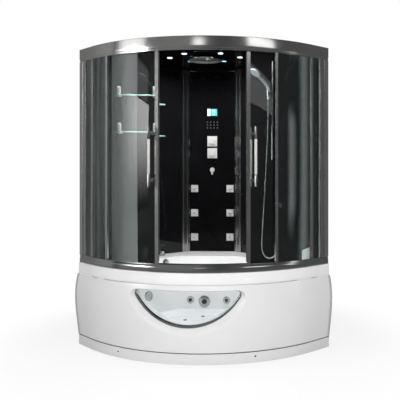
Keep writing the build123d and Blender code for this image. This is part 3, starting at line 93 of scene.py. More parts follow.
HOSE_ROUTE = (
    (0.858, 0.050, 1.0937), (0.858, 0.050, 0.980), (0.866, 0.053, 0.868), (0.871, 0.058, 0.772),
    (0.822, 0.067, 0.721), (0.752, 0.076, 0.721), (0.706, 0.082, 0.7695), (0.711, 0.084, 0.872),
    (0.728, 0.086, 1.010), (0.751, 0.090, 1.175), (0.772, 0.095, 1.352), (0.795, 0.104, 1.530),
    (0.814, 0.113, 1.700), (0.817, 0.117, 1.8577),
)


class EnclosureStage(bpy.types.PropertyGroup):
    """Camera, lamps and floor."""

    lens: FloatProperty(name="Lens", description="Focal length on a 36 mm sensor", default=53.84, min=20.0,
                        max=200.0)
    lamp_level: FloatProperty(name="Lamp level", description="Share of every lamp's power", default=1.0,
                              min=0.0, max=4.0)
    room_level: FloatProperty(name="Room level", description="Light that comes evenly from all sides",
                              default=0.36,
                              min=0.0, max=2.0)
    floor_radius: FloatProperty(name="Floor radius", description="Size of the pale floor", default=3.4,
                                min=2.5, max=30.0,
                                unit="LENGTH")


class EnclosureFinish(bpy.types.PropertyGroup):
    """Colours of the finishes."""

    acrylic: FloatVectorProperty(name="Acrylic", description="White of the tub and its skirt",
                                 subtype="COLOR",
                                 default=(0.80, 0.80, 0.80), min=0.0, max=1.0)
    frame_metal: FloatVectorProperty(name="Frame metal", description="Satin aluminium of the profiles",
                                     subtype="COLOR",
                                     default=(0.60, 0.60, 0.59), min=0.0, max=1.0)
    chrome: FloatVectorProperty(name="Chrome", description="Bright fittings", subtype="COLOR",
                                default=(0.62, 0.62, 0.62), min=0.0, max=1.0)
    wall_glass: FloatVectorProperty(name="Wall glass", description="Back-painted glass of the walls",
                                    subtype="COLOR",
                                    default=(0.003, 0.003, 0.0035), min=0.0, max=1.0)
    handle_sleeve: FloatVectorProperty(name="Handle sleeve", description="Pale sleeves of the door handles",
                                       subtype="COLOR",
                                       default=(0.62, 0.61, 0.58), min=0.0, max=1.0)


class EnclosureDetail(bpy.types.PropertyGroup):
    """Fineness of the made surfaces."""

    front_steps: IntProperty(name="Front steps", description="Divisions of the round front", default=120,
                             min=24, max=400)
    hose_pitch: FloatProperty(name="Hose pitch", description="Distance between the rings of the hose's cover",
                              default=0.0046,
                              min=0.002, max=0.02, unit="LENGTH")
    recess_softness: FloatProperty(name="Recess softness",
                                   description="How far the window's bevel eases into the skirt",
                                   default=1.0, min=0.2, max=2.0)
    edge_width: FloatProperty(name="Edge width", description="Rounding of moulded and pressed edges",
                              default=0.0012,
                              min=0.0002, max=0.01, unit="LENGTH")


def stage_settings():
    """Camera, lamp and floor settings of this scene."""
    return bpy.context.scene.enclosure_stage


def finish_settings():
    """Colour settings of this scene."""
    return bpy.context.scene.enclosure_finish


def detail_settings():
    """Fineness settings of this scene."""
    return bpy.context.scene.enclosure_detail


# Shapes


def wall_spot(side, along, away, z):
    """Point on a wall: along it from the corner, away from its back face, at a height."""
    return np.array([side * (along - away) / ROOT_TWO, CORNER_Y - (along + away) / ROOT_TWO, z])


def arc_spot(angle, radius, z):
    """Point over the round front: angle from its middle in degrees, radius from its centre."""
    turn = math.radians(angle)
    return np.array([radius * math.sin(turn), ARC_Y - radius * math.cos(turn), z])


def rounded(corners, radius, steps=4):
    """Closed outline with eased corners: each corner becomes a curve of second order between two points that
    lie one radius, or at most 0.45 of the side, away from it."""
    corner = np.asarray(corners, float)
    to_last = np.roll(corner, 1, axis=0) - corner
    to_next = np.roll(corner, -1, axis=0) - corner
    last_length = np.linalg.norm(to_last, axis=1, keepdims=True)
    next_length = np.linalg.norm(to_next, axis=1, keepdims=True)
    reach = np.minimum(radius, 0.45 * np.minimum(last_length, next_length))
    first = (corner + to_last / last_length * reach)[:, None]
    last = (corner + to_next / next_length * reach)[:, None]
    t = np.linspace(0.0, 1.0, steps + 1)[None, :, None]
    curve = (1 - t) ** 2 * first + 2 * t * (1 - t) * corner[:, None] + t**2 * last
    return curve.reshape(-1, corner.shape[1])


def grid_faces(rows, columns, wrap_rows=False, wrap_columns=False):
    """Four-sided faces of a grid of points numbered row by row. A wrapped grid closes on its first row or
    column."""
    row = np.arange(rows if wrap_rows else rows - 1)[:, None]
    column = np.arange(columns if wrap_columns else columns - 1)[None, :]
    next_row, next_column = (row + 1) % rows, (column + 1) % columns
    corners = (row * columns + column, row * columns + next_column, next_row * columns + next_column,
               next_row * columns + column)
    return np.stack(np.broadcast_arrays(*corners), axis=-1).reshape(-1, 4).tolist()


def carried(profile, origins, across, up):
    """Solid of a closed profile carried along a path: each point is the path's point, plus the profile's
    first number times the direction across, plus its second times the direction up. The two ends are
    closed."""
    profile = np.asarray(profile, float)
    origins, across, up = (np.asarray(a, float)[:, None] for a in (origins, across, up))
    points = origins + across * profile[None, :, 0:1] + up * profile[None, :, 1:2]
    rows, columns = points.shape[:2]
    faces = grid_faces(rows, columns, wrap_columns=True)
    ends = np.arange(rows * columns).reshape(rows, columns)
    faces += [ends[0][::-1].tolist(), ends[-1].tolist()]
    return points.reshape(-1, 3), faces


def front_stations(steps):
    """Plan line of the whole front, from the left wall round to the right one, and its outward directions."""
    angle = np.radians(np.linspace(-45.0, 45.0, steps))
    outward = np.stack([np.sin(angle), -np.cos(angle), np.zeros(steps)], axis=1)
    line = np.array([0.0, ARC_Y, 0.0]) + FRONT_RADIUS * outward
    run = np.linspace(WING_LENGTH, 0.0, 4)[:-1, None]
    left = line[0] + run * np.array([-1.0, 1.0, 0.0]) / ROOT_TWO
    right = line[-1] + run[::-1] * np.array([1.0, 1.0, 0.0]) / ROOT_TWO
    outward = np.concatenate([np.repeat(outward[:1], 3, 0), outward, np.repeat(outward[-1:], 3, 0)])
    return np.concatenate([left, line, right]), outward


def front_band(profile):
    """Band along the whole front. The profile is (distance out from the front line, height)."""
    line, outward = front_stations(detail_settings().front_steps)
    return carried(profile, line, outward, np.tile([0.0, 0.0, 1.0], (len(line), 1)))


def arc_band(profile, first, last, steps):
    """Band round the front's centre between two angles in degrees. The profile is (radius, height)."""
    angle = np.radians(np.linspace(first, last, steps))
    outward = np.stack([np.sin(angle), -np.cos(angle), np.zeros(steps)], axis=1)
    centre = np.tile([0.0, ARC_Y, 0.0], (steps, 1))
    return carried(profile, centre, outward, np.tile([0.0, 0.0, 1.0], (steps, 1)))


def directions(axis):
    """Two unit directions square to an axis, and the axis itself."""
    axis = np.asarray(axis, float) / np.linalg.norm(axis)
    side = np.cross(axis, [0.0, 0.0, 1.0] if abs(axis[2]) < 0.9 else [1.0, 0.0, 0.0])
    side /= np.linalg.norm(side)
    return side, np.cross(axis, side), axis


def turned(profile, centre, axis, steps=40, lobes=0, lobe_depth=0.0):
    """Solid turned round an axis: the profile is (radius, height) from one end to the other, both on the
    axis. With lobes, the radius is lessened by the depth times a half of one less the cosine of lobes times
    the turn."""
    side, other, axis = directions(axis)
    profile = np.asarray(profile, float)
    turn = np.linspace(0.0, 2 * np.pi, steps, endpoint=False)[:, None]
    radius = profile[None, :, 0] * (1 - lobe_depth * (1 - np.cos(lobes * turn)) / 2)
    height = np.broadcast_to(profile[None, :, 1], radius.shape)
    points = (np.asarray(centre, float) + (radius * np.cos(turn))[..., None] * side
              + (radius * np.sin(turn))[..., None] * other + height[..., None] * axis)
    return points.reshape(-1, 3), grid_faces(steps, len(profile), wrap_rows=True)


def tube(path, radius, sides, reference):
    """Tube round a path: circles square to it, measured from the reference direction. Radius is one per
    point."""
    path = np.asarray(path, float)
    along = np.gradient(path, axis=0)
    along /= np.linalg.norm(along, axis=1, keepdims=True)
    side = np.cross(along, reference)
    side /= np.linalg.norm(side, axis=1, keepdims=True)
    other = np.cross(along, side)
    turn = np.linspace(0.0, 2 * np.pi, sides, endpoint=False)[None, :, None]
    radius = np.broadcast_to(radius, (len(path),))[:, None, None]
    points = path[:, None] + radius * (np.cos(turn) * side[:, None] + np.sin(turn) * other[:, None])
    faces = grid_faces(len(path), sides, wrap_columns=True)
    ends = np.arange(len(path) * sides).reshape(len(path), sides)
    faces += [ends[0][::-1].tolist(), ends[-1].tolist()]
    return points.reshape(-1, 3), faces


def keep_flat(piece):
    """Shading in which large faces stay flat and the narrow faces beside them carry the turn."""
    weighted = piece.modifiers.new("keep_flat", "WEIGHTED_NORMAL")
    weighted.weight = 100
    weighted.keep_sharp = True
    return piece


def new_piece(name, parts, smooth=35.0, outward=True):
    """Object made of several solids, each its points and faces. Doubles merge and, on closed shapes, faces
    turn out."""
    offsets = np.cumsum([0] + [len(points) for points, faces in parts])
    points = np.concatenate([points for points, faces in parts])
    faces = [[corner + int(offset) for corner in face]
             for (_, part_faces), offset in zip(parts, offsets) for face in part_faces]
    mesh = bpy.data.meshes.new(name)
    mesh.from_pydata(points.tolist(), [], faces)
    shape = bmesh.new()
    shape.from_mesh(mesh)
    bmesh.ops.remove_doubles(shape, verts=shape.verts, dist=1e-6)
    bmesh.ops.dissolve_degenerate(shape, edges=shape.edges, dist=1e-7)
    if outward:
        bmesh.ops.recalc_face_normals(shape, faces=shape.faces)
    shape.to_mesh(mesh)
    shape.free()
    mesh.shade_smooth()
    mesh.set_sharp_from_angle(angle=math.radians(smooth))
    piece = bpy.data.objects.new(name, mesh)
    bpy.context.scene.collection.objects.link(piece)
    return piece


def softened(name, nodes, width, segments=2, angle=32.0):
    """Copy of CAD nodes with flat faces joined and edges rounded: an edge whose faces meet at more than the
    angle gets a bevel of that width and number of segments."""
    shape = bmesh.new()
    for node in nodes:
        shape.from_mesh(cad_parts[node].data)
    bmesh.ops.remove_doubles(shape, verts=shape.verts, dist=2e-6)
    bmesh.ops.dissolve_limit(shape, angle_limit=math.radians(0.4), verts=shape.verts, edges=shape.edges)
    sharp = [edge for edge in shape.edges if edge.is_manifold and edge.calc_face_angle(0.0) > math.radians(angle)]
    if width:
        bmesh.ops.bevel(shape, geom=sharp, offset=width, offset_type="OFFSET", segments=segments, profile=0.5,
                        affect="EDGES", clamp_overlap=True)
    mesh = bpy.data.meshes.new(name)
    shape.to_mesh(mesh)
    shape.free()
    mesh.shade_smooth()
    mesh.set_sharp_from_angle(angle=math.radians(angle))
    piece = bpy.data.objects.new(name, mesh)
    bpy.context.scene.collection.objects.link(piece)
    return keep_flat(piece)


def dress(name, node, width, body, slot, material, segments=2, angle=32.0):
    """Softened copy of one CAD node, with its finish, placed as that node."""
    return place(softened(name, [node], width, segments, angle), body, slot, finish(material), node)


def place(piece, body, slot, material, *nodes):
    """Gives a piece its finish, lets it ride on a body, and lets it stand for CAD nodes. The slot is not used."""
    piece.data.materials.clear()
    piece.data.materials.append(material)
    if body:
        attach(piece, body)
    if nodes:
        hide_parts(*nodes)
    return piece


# Finishes


def shared_group(name, inputs, outputs):
    """Empty node group with named sockets, and its input and output nodes."""
    group = bpy.data.node_groups.new(name, "ShaderNodeTree")
    for label, kind, default in inputs:
        socket = group.interface.new_socket(label, in_out="INPUT", socket_type=kind)
        if default is not None:
            socket.default_value = default
    for label, kind in outputs:
        group.interface.new_socket(label, in_out="OUTPUT", socket_type=kind)
    return group, group.nodes.new("NodeGroupInput"), group.nodes.new("NodeGroupOutput")


def surface_waves():
    """Slow waves and fine unevenness of a moulded or rolled surface: a mask and a normal."""
    name = "Surface waves"
    if name in bpy.data.node_groups:
        return bpy.data.node_groups[name]
    group, given, result = shared_group(
        name,
        (("Vector", "NodeSocketVector", None), ("Scale", "NodeSocketFloat", 6.0),
         ("Height", "NodeSocketFloat", 0.001)),
        (("Mask", "NodeSocketFloat"), ("Normal", "NodeSocketVector")))
    noise = group.nodes.new("ShaderNodeTexNoise")
    noise.inputs["Detail"].default_value = 3.0
    bump = group.nodes.new("ShaderNodeBump")
    bump.inputs["Strength"].default_value = 0.6
    group.links.new(given.outputs["Vector"], noise.inputs["Vector"])
    group.links.new(given.outputs["Scale"], noise.inputs["Scale"])
    group.links.new(given.outputs["Height"], bump.inputs["Distance"])
    group.links.new(noise.outputs["Fac"], bump.inputs["Height"])
    group.links.new(noise.outputs["Fac"], result.inputs["Mask"])
    group.links.new(bump.outputs["Normal"], result.inputs["Normal"])
    return group


def handling_marks():
    """Dried drops, wiping marks and dust: two masks."""
    name = "Handling marks"
    if name in bpy.data.node_groups:
        return bpy.data.node_groups[name]
    group, given, result = shared_group(
        name,
        (("Vector", "NodeSocketVector", None), ("Scale", "NodeSocketFloat", 5.0)),
        (("Smudge", "NodeSocketFloat"), ("Dust", "NodeSocketFloat")))
    cloud = group.nodes.new("ShaderNodeTexNoise")
    cloud.inputs["Detail"].default_value = 6.0
    cloud.inputs["Distortion"].default_value = 0.8
    spread = group.nodes.new("ShaderNodeMapRange")
    spread.inputs["From Min"].default_value = 0.45
    spread.inputs["From Max"].default_value = 0.75
    speck = group.nodes.new("ShaderNodeTexNoise")
    speck.inputs["Scale"].default_value = 420.0
    few = group.nodes.new("ShaderNodeMapRange")
    few.inputs["From Min"].default_value = 0.66
    few.inputs["From Max"].default_value = 0.74
    for texture in (cloud, speck):
        group.links.new(given.outputs["Vector"], texture.inputs["Vector"])
    group.links.new(given.outputs["Scale"], cloud.inputs["Scale"])
    group.links.new(cloud.outputs["Fac"], spread.inputs["Value"])
    group.links.new(speck.outputs["Fac"], few.inputs["Value"])
    group.links.new(spread.outputs["Result"], result.inputs["Smudge"])
    group.links.new(few.outputs["Result"], result.inputs["Dust"])
    return group


def brushed_lines():
    """Fine lines drawn out along one way by the stretch of the given vector: a mask and a normal."""
    name = "Brushed lines"
    if name in bpy.data.node_groups:
        return bpy.data.node_groups[name]
    group, given, result = shared_group(
        name,
        (("Vector", "NodeSocketVector", None), ("Height", "NodeSocketFloat", 0.0002)),
        (("Lines", "NodeSocketFloat"), ("Normal", "NodeSocketVector")))
    noise = group.nodes.new("ShaderNodeTexNoise")
    noise.inputs["Scale"].default_value = 1.0
    noise.inputs["Detail"].default_value = 5.0
    bump = group.nodes.new("ShaderNodeBump")
    bump.inputs["Strength"].default_value = 0.35
    group.links.new(given.outputs["Vector"], noise.inputs["Vector"])
    group.links.new(given.outputs["Height"], bump.inputs["Distance"])
    group.links.new(noise.outputs["Fac"], bump.inputs["Height"])
    group.links.new(noise.outputs["Fac"], result.inputs["Lines"])
    group.links.new(bump.outputs["Normal"], result.inputs["Normal"])
    return group


def principled(name, **constants):
    """New material with one shader whose constant sockets are set, and its object coordinates."""
    material = bpy.data.materials.new(name)
    material.use_nodes = True
    tree = material.node_tree
    shader = tree.nodes["Principled BSDF"]
    for socket, value in constants.items():
        shader.inputs[socket.replace("_", " ")].default_value = value
    where = tree.nodes.new("ShaderNodeTexCoord")
    return material, tree, shader, where.outputs["Object"]


def use_group(tree, group, vector, **values):
    """Places a shared group in a material with its own values."""
    node = tree.nodes.new("ShaderNodeGroup")
    node.node_tree = group
    tree.links.new(vector, node.inputs["Vector"])
    for label, value in values.items():
        node.inputs[label].default_value = value
    return node


def ranged(tree, value, low, high):
    """Number between two limits, led by a mask."""
    node = tree.nodes.new("ShaderNodeMapRange")
    node.inputs["To Min"].default_value = low
    node.inputs["To Max"].default_value = high
    tree.links.new(value, node.inputs["Value"])
    return node.outputs["Result"]


def mixed(tree, mask, first, second):
    """Colour between two colours, led by a mask."""
    node = tree.nodes.new("ShaderNodeMix")
    node.data_type = "RGBA"
    node.inputs["A"].default_value = (*first, 1.0)
    node.inputs["B"].default_value = (*second, 1.0)
    tree.links.new(mask, node.inputs["Factor"])
    return node.outputs["Result"]


def computed(tree, operation, first, second, clamped=False):
    """Result of a calculation with an output and a second output or number."""
    node = tree.nodes.new("ShaderNodeMath")
    node.operation = operation
    node.use_clamp = clamped
    tree.links.new(first, node.inputs[0])
    if isinstance(second, float):
        node.inputs[1].default_value = second
    else:
        tree.links.new(second, node.inputs[1])
    return node.outputs[0]


def blended(tree, share, first, second):
    """Shader between two shaders: the first where the share is nought, the second where it is one."""
    node = tree.nodes.new("ShaderNodeMixShader")
    tree.links.new(share, node.inputs["Fac"])
    tree.links.new(first, node.inputs[1])
    tree.links.new(second, node.inputs[2])
    return node.outputs["Shader"]


def scaled(colour, share):
    """Colour made darker or lighter."""
    return tuple(min(1.0, part * share) for part in colour)


def stretched(tree, vector, scale):
    """Coordinates stretched for a pattern that runs one way."""
    node = tree.nodes.new("ShaderNodeMapping")
    node.inputs["Scale"].default_value = scale
    tree.links.new(vector, node.inputs["Vector"])
    return node.outputs["Vector"]


def white_acrylic(name):
    """Glossy sanitary acrylic: faint waves, a clear coat and a little dust."""
    colour = tuple(finish_settings().acrylic)
    material, tree, shader, where = principled(name, IOR=1.49, Coat_Weight=0.35, Coat_Roughness=0.05)
    waves = use_group(tree, surface_waves(), where, Scale=7.0, Height=0.0012)
    marks = use_group(tree, handling_marks(), where, Scale=3.0)
    tree.links.new(mixed(tree, marks.outputs["Smudge"], colour, scaled(colour, 0.985)),
                   shader.inputs["Base Color"])
    tree.links.new(ranged(tree, marks.outputs["Smudge"], 0.16, 0.26), shader.inputs["Roughness"])
    tree.links.new(waves.outputs["Normal"], shader.inputs["Normal"])
    return material


def metal(name, colour, low, high, stretch, height):
    """Metal with lines drawn along it: its colour and gloss vary with the lines."""
    material, tree, shader, where = principled(name, Metallic=1.0)
    lines = use_group(tree, brushed_lines(), stretched(tree, where, stretch), Height=height)
    marks = use_group(tree, handling_marks(), where, Scale=6.0)
    tree.links.new(mixed(tree, lines.outputs["Lines"], scaled(colour, 0.88), scaled(colour, 1.12)),
                   shader.inputs["Base Color"])
    total = tree.nodes.new("ShaderNodeMath")
    total.operation = "MULTIPLY_ADD"
    total.inputs[1].default_value = (high - low) / 2
    tree.links.new(marks.outputs["Smudge"], total.inputs[0])
    tree.links.new(ranged(tree, lines.outputs["Lines"], low, high), total.inputs[2])
    tree.links.new(total.outputs[0], shader.inputs["Roughness"])
    tree.links.new(lines.outputs["Normal"], shader.inputs["Normal"])
    return material


def upright_metal(name):
    """Aluminium drawn upwards: the lines stand."""
    return metal(name, tuple(finish_settings().frame_metal), 0.14, 0.25, (700.0, 700.0, 2.0), 0.00012)


def chrome(name):
    """Plated brass with faint wiping marks."""
    return metal(name, tuple(finish_settings().chrome), 0.05, 0.12, (60.0, 60.0, 60.0), 0.00004)


def satin_plate(name):
    """Satin plating of the column's plates and knobs."""
    material = metal(name, (0.62, 0.62, 0.61), 0.25, 0.35, (60.0, 60.0, 60.0), 0.00004)
    material.node_tree.nodes["Principled BSDF"].inputs["Metallic"].default_value = 0.45
    return material


def strip_metal(name):
    """Bright ribbed strips beside the column."""
    return metal(name, scaled(tuple(finish_settings().frame_metal), 0.8), 0.12, 0.22, (500.0, 500.0, 1.5),
                 0.0001)


def carcass_steel(name):
    """Galvanised steel tube of the carcass."""
    return metal(name, (0.34, 0.35, 0.36), 0.32, 0.5, (40.0, 40.0, 40.0), 0.0003)


def clear_glass(name, tint=(0.92, 0.96, 0.95), rough=0.0):
    """Clear safety glass. Light passes to what stands behind it, and dried drops dull it a little."""
    material, tree, shader, where = principled(name, Transmission_Weight=1.0, IOR=1.45, Roughness=rough)
    marks = use_group(tree, handling_marks(), where, Scale=4.0)
    tree.links.new(mixed(tree, marks.outputs["Smudge"], tint, scaled(tint, 0.96)),
                   shader.inputs["Base Color"])
    passing = tree.nodes.new("ShaderNodeBsdfTransparent")
    passing.inputs["Color"].default_value = (0.90, 0.94, 0.93, 1.0)
    path = tree.nodes.new("ShaderNodeLightPath")
    bounced = computed(tree, "ADD", path.outputs["Is Shadow Ray"], path.outputs["Glossy Depth"], clamped=True)
    choice = blended(tree, bounced, shader.outputs["BSDF"], passing.outputs["BSDF"])
    tree.links.new(choice, tree.nodes["Material Output"].inputs["Surface"])
    return material


def wall_glass(name):
    """Black back-painted glass, polished, with faint wiping marks."""
    colour = tuple(finish_settings().wall_glass)
    material, tree, shader, where = principled(name, IOR=1.5)
    marks = use_group(tree, handling_marks(), where, Scale=2.2)
    tree.links.new(mixed(tree, marks.outputs["Smudge"], colour, scaled(colour, 1.5)),
                   shader.inputs["Base Color"])
    tree.links.new(ranged(tree, marks.outputs["Smudge"], 0.03, 0.07), shader.inputs["Roughness"])
    return material


def column_black(name):
    """Black moulded column and ceiling: polished, yet duller than the glass."""
    colour = tuple(finish_settings().wall_glass)
    material, tree, shader, where = principled(name, IOR=1.18)
    marks = use_group(tree, handling_marks(), where, Scale=2.2)
    tree.links.new(mixed(tree, marks.outputs["Smudge"], scaled(colour, 0.7), scaled(colour, 1.1)),
                   shader.inputs["Base Color"])
    tree.links.new(ranged(tree, marks.outputs["Smudge"], 0.04, 0.09), shader.inputs["Roughness"])
    return material


def moulded(name, colour, low, high, scale=40.0, height=0.0003):
    """Moulded plastic or rubber: fine grain, and gloss between two values."""
    material, tree, shader, where = principled(name, IOR=1.48)
    waves = use_group(tree, surface_waves(), where, Scale=scale, Height=height)
    tree.links.new(mixed(tree, waves.outputs["Mask"], scaled(colour, 0.93), scaled(colour, 1.05)),
                   shader.inputs["Base Color"])
    tree.links.new(ranged(tree, waves.outputs["Mask"], low, high), shader.inputs["Roughness"])
    tree.links.new(waves.outputs["Normal"], shader.inputs["Normal"])
    return material


def handle_sleeve(name):
    """Pale satin sleeves of the door handles."""
    return moulded(name, tuple(finish_settings().handle_sleeve), 0.22, 0.34)


def shower_plastic(name):
    """Light grey plastic of the hand shower's face."""
    return moulded(name, (0.30, 0.33, 0.36), 0.25, 0.4)


def roller_plastic(name):
    """Hard white plastic of the rollers."""
    return moulded(name, (0.55, 0.55, 0.53), 0.35, 0.5)


def foot_plastic(name):
    """Black rubbery plastic of the feet and waste; the same black is the painted shade of the skirt's foot
    groove.
    """
    return moulded(name, (0.03, 0.03, 0.03), 0.45, 0.65)


def pump_casing(name):
    """Dark moulded casing of the pump."""
    return moulded(name, (0.05, 0.055, 0.06), 0.35, 0.5)


def dark_socket(name):
    """Painted shade: near-black colour for discs that stand in for the shade inside a nozzle's mouth or a grille.
    """
    return moulded(name, (0.012, 0.012, 0.013), 0.3, 0.45)


def glowing(name, colour, strength, rim):
    """Lit cover: brightest in cells like the small lenses behind it."""
    material, tree, shader, where = principled(name, Roughness=0.2, Emission_Strength=strength)
    cells = tree.nodes.new("ShaderNodeTexVoronoi")
    cells.inputs["Scale"].default_value = 160.0
    tree.links.new(where, cells.inputs["Vector"])
    tree.links.new(mixed(tree, ranged(tree, cells.outputs["Distance"], 0.0, 1.0), colour, rim),
                   shader.inputs["Emission Color"])
    shader.inputs["Base Color"].default_value = (*rim, 1.0)
    return material


def lamp_white(name):
    """Cover of the white ceiling lamps."""
    return glowing(name, (1.0, 1.0, 1.0), 5.0, (0.7, 0.75, 0.8))


def lamp_blue(name):
    """Cover of the bluish ceiling lamps."""
    return glowing(name, (0.35, 0.75, 1.0), 2.6, (0.15, 0.4, 0.6))


def screen_rose(name):
    """Pale rose part of the lit screen."""
    return glowing(name, (0.95, 0.62, 0.52), 1.0, (0.8, 0.7, 0.66))


def screen_teal(name):
    """Teal part of the lit screen."""
    return glowing(name, (0.02, 0.42, 0.40), 0.9, (0.02, 0.30, 0.30))


def screen_white(name):
    """Lit digits and marks."""
    return glowing(name, (0.75, 1.0, 0.98), 1.6, (0.6, 0.9, 0.9))


def key_white(name):
    """Printed touch keys."""
    return moulded(name, (0.05, 0.052, 0.055), 0.4, 0.5)


def shelf_glass(name):
    """Shelves of glass with a greenish body that catches the light."""
    material = clear_glass(name, (0.55, 0.86, 0.78))
    material.node_tree.nodes["Principled BSDF"].inputs["Transmission Weight"].default_value = 0.6
    return material


def pane_acrylic(name):
    """Clear acrylic of the tub's window."""
    return clear_glass(name, (0.95, 0.98, 1.0))


def pale_floor(name):
    """Pale studio floor that keeps the object's shadow near it and turns to plain white further away.

    Mirrored rays see it dim, and scattered rays see it as plain pale paint."""
    material, tree, shader, where = principled(name, Roughness=0.85, Specular_IOR_Level=0.1)
    waves = use_group(tree, surface_waves(), where, Scale=2.0, Height=0.0005)
    tree.links.new(mixed(tree, waves.outputs["Mask"], (0.86, 0.86, 0.86), (0.88, 0.88, 0.88)),
                   shader.inputs["Base Color"])
    plain = tree.nodes.new("ShaderNodeEmission")
    apart = tree.nodes.new("ShaderNodeVectorMath")
    apart.operation = "LENGTH"
    tree.links.new(where, apart.inputs[0])
    fade = tree.nodes.new("ShaderNodeMapRange")
    fade.inputs["From Min"].default_value = 1.15
    fade.inputs["From Max"].default_value = 1.9
    fade.interpolation_type = "SMOOTHSTEP"
    fade.inputs["To Min"].default_value = 0.82
    tree.links.new(apart.outputs["Value"], fade.inputs["Value"])
    path = tree.nodes.new("ShaderNodeLightPath")
    choice = blended(tree, fade.outputs["Result"], shader.outputs["BSDF"], plain.outputs["Emission"])
    dim = tree.nodes.new("ShaderNodeEmission")
    dim.inputs["Strength"].default_value = 0.14
    mirrored = blended(tree, path.outputs["Glossy Depth"], choice, dim.outputs["Emission"])
    diffuse = tree.nodes.new("ShaderNodeBsdfDiffuse")
    diffuse.inputs["Color"].default_value = (0.86, 0.86, 0.86, 1.0)
    scattered = blended(tree, path.outputs["Is Diffuse Ray"], mirrored, diffuse.outputs["BSDF"])
    tree.links.new(scattered, tree.nodes["Material Output"].inputs["Surface"])
    return material


def hose_metal(name):
    """Chromed spiral sleeve of the hose."""
    return metal(name, tuple(finish_settings().chrome), 0.14, 0.24, (60.0, 60.0, 60.0), 0.00004)


def rail_metal(name):
    """Aluminium of the bottom rail, with lines drawn along it."""
    return metal(name, scaled(tuple(finish_settings().frame_metal), 0.9), 0.12, 0.18, (3.0, 3.0, 900.0),
                 0.0001)


def fascia_metal(name):
    """Polished aluminium of the fascia, with faint lines drawn along it."""
    return metal(name, scaled(tuple(finish_settings().frame_metal), 1.05), 0.12, 0.18, (3.0, 3.0, 900.0),
                 0.0001)


def post_metal(name):
    """Bright aluminium of the posts at the walls."""
    return metal(name, scaled(tuple(finish_settings().frame_metal), 1.2), 0.16, 0.26, (700.0, 700.0, 2.0),
                 0.00012)


def window_chrome(name):
    """Polished trim of the tub's window."""
    return metal(name, (0.70, 0.70, 0.70), 0.07, 0.14, (60.0, 60.0, 60.0), 0.00004)


def vent_plastic(name):
    """Pale grey plastic of the vent's and the steam outlet's covers."""
    return moulded(name, (0.62, 0.63, 0.63), 0.22, 0.32)


def tub_white(name):
    """Glossy acrylic of the tub's inside, without the skirt's dust. Its white is painted brighter than the
    skirt's, as painted light for the shaded basin.
    """
    # A white of 0.90 against the skirt's 0.80: painted light that brightens the basin's shaded inside.
    return moulded(name, (0.90, 0.90, 0.90), 0.1, 0.16, 6.0, 0.0008)


def seal_rubber(name):
    """Dark soft seal on the doors' edges."""
    return moulded(name, (0.05, 0.052, 0.055), 0.4, 0.5)


def finish(build):
    """The material that a finish function makes, made once."""
    name = build.__name__.replace("_", " ").capitalize()
    return bpy.data.materials.get(name) or build(name)


# Free cord


def shower_hose():
    """Metal-sheathed hose of the hand shower: rings along the whole route.

    The tube's radius is the hose's, less a small share of a half of one plus the cosine of the way along over
    the pitch, so that the cover shows fine rings."""
    points = np.array([wall_spot(1, along, away, z) for along, away, z in HOSE_ROUTE])
    curve = bpy.data.curves.new("hose_route", "CURVE")
    curve.dimensions = "3D"
    curve.resolution_u = 48
    spline = curve.splines.new("NURBS")
    spline.points.add(len(points) - 1)
    spline.points.foreach_set("co", np.column_stack([points, np.ones(len(points))]).ravel())
    spline.order_u = 3
    spline.use_endpoint_u = True
    route = bpy.data.objects.new("hose_route", curve)
    line = bpy.data.meshes.new_from_object(route)
    path = np.empty(3 * len(line.vertices))
    line.vertices.foreach_get("co", path)
    path = path.reshape(-1, 3)
    bpy.data.objects.remove(route)
    steps = np.linalg.norm(np.diff(path, axis=0), axis=1)
    way = np.concatenate([[0.0], np.cumsum(steps)])
    pitch = detail_settings().hose_pitch
    rings = np.linspace(0.0, way[-1], 4 * int(way[-1] / pitch) + 1)
    fine = np.column_stack([np.interp(rings, way, path[:, axis]) for axis in range(3)])
    radius = 0.007 * (1 - 0.07 * (1 - np.cos(2 * np.pi * rings / pitch)) / 2)
    points, faces = tube(fine, radius, 20, np.array([1.0, 1.0, 0.0]) / ROOT_TWO)
    hose = new_piece("shower_hose_cover", [(points, faces)], smooth=60.0)
    place(hose, None, "hose_cover", finish(hose_metal), "shower_hose")
    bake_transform(hose)


# Tub front


def skirt_proud(z):
    """How far the skirt stands out from the front line at a height: a cubic through four points of its
    profile."""
    heights = np.array([0.549, 0.400, 0.242, 0.084])
    factors = np.linalg.solve(np.vander(heights, 4), np.array([0.014, 0.036, 0.027, 0.008]))
    return np.polyval(factors, z)


def moon(grow):
    """Half-moon outline, widened by a distance: its corner circles' place, and its reach to each side.

    A large circle forms the bottom and two small ones the corners, each touching the top line and the large
    one."""
    half, drop = WINDOW_HALF + grow, WINDOW_TOP_Z - WINDOW_BOTTOM_Z + grow
    big = (half**2 + drop**2) / (2 * drop)
    rise = big - drop
    corner = WINDOW_CORNER + grow / 2
    across = np.sqrt((big - corner) ** 2 - (rise + corner) ** 2)
    return big, rise, corner, across


def moon_edges(grow, share):
    """Points of the half-moon: for shares of the way from its left to its right end, the distance from its
    middle and the heights of its upper and lower edge. Shares follow a sine, so points crowd at both
    ends."""
    big, rise, corner, across = moon(grow)
    side = (across + corner) * np.sin(np.pi / 2 * share)
    past = np.clip(np.abs(side) - across, 0.0, corner)
    depth = np.sqrt(np.maximum(corner**2 - past**2, 0.0))
    upper = WINDOW_TOP_Z - corner + depth
    lower = np.where(np.abs(side) <= across * big / (big - corner),
                     WINDOW_TOP_Z + rise - np.sqrt(np.maximum(big**2 - side**2, 0.0)),
                     WINDOW_TOP_Z - corner - np.sqrt(np.maximum(corner**2 - (np.abs(side) - across) ** 2,
                                                                0.0)))
    return side, upper, lower


def on_front(x, z, proud):
    """Point at a width, a height and a distance out from the round front."""
    reach = FRONT_RADIUS + proud
    return np.stack([x, ARC_Y - np.sqrt(reach**2 - x**2), z], axis=-1)


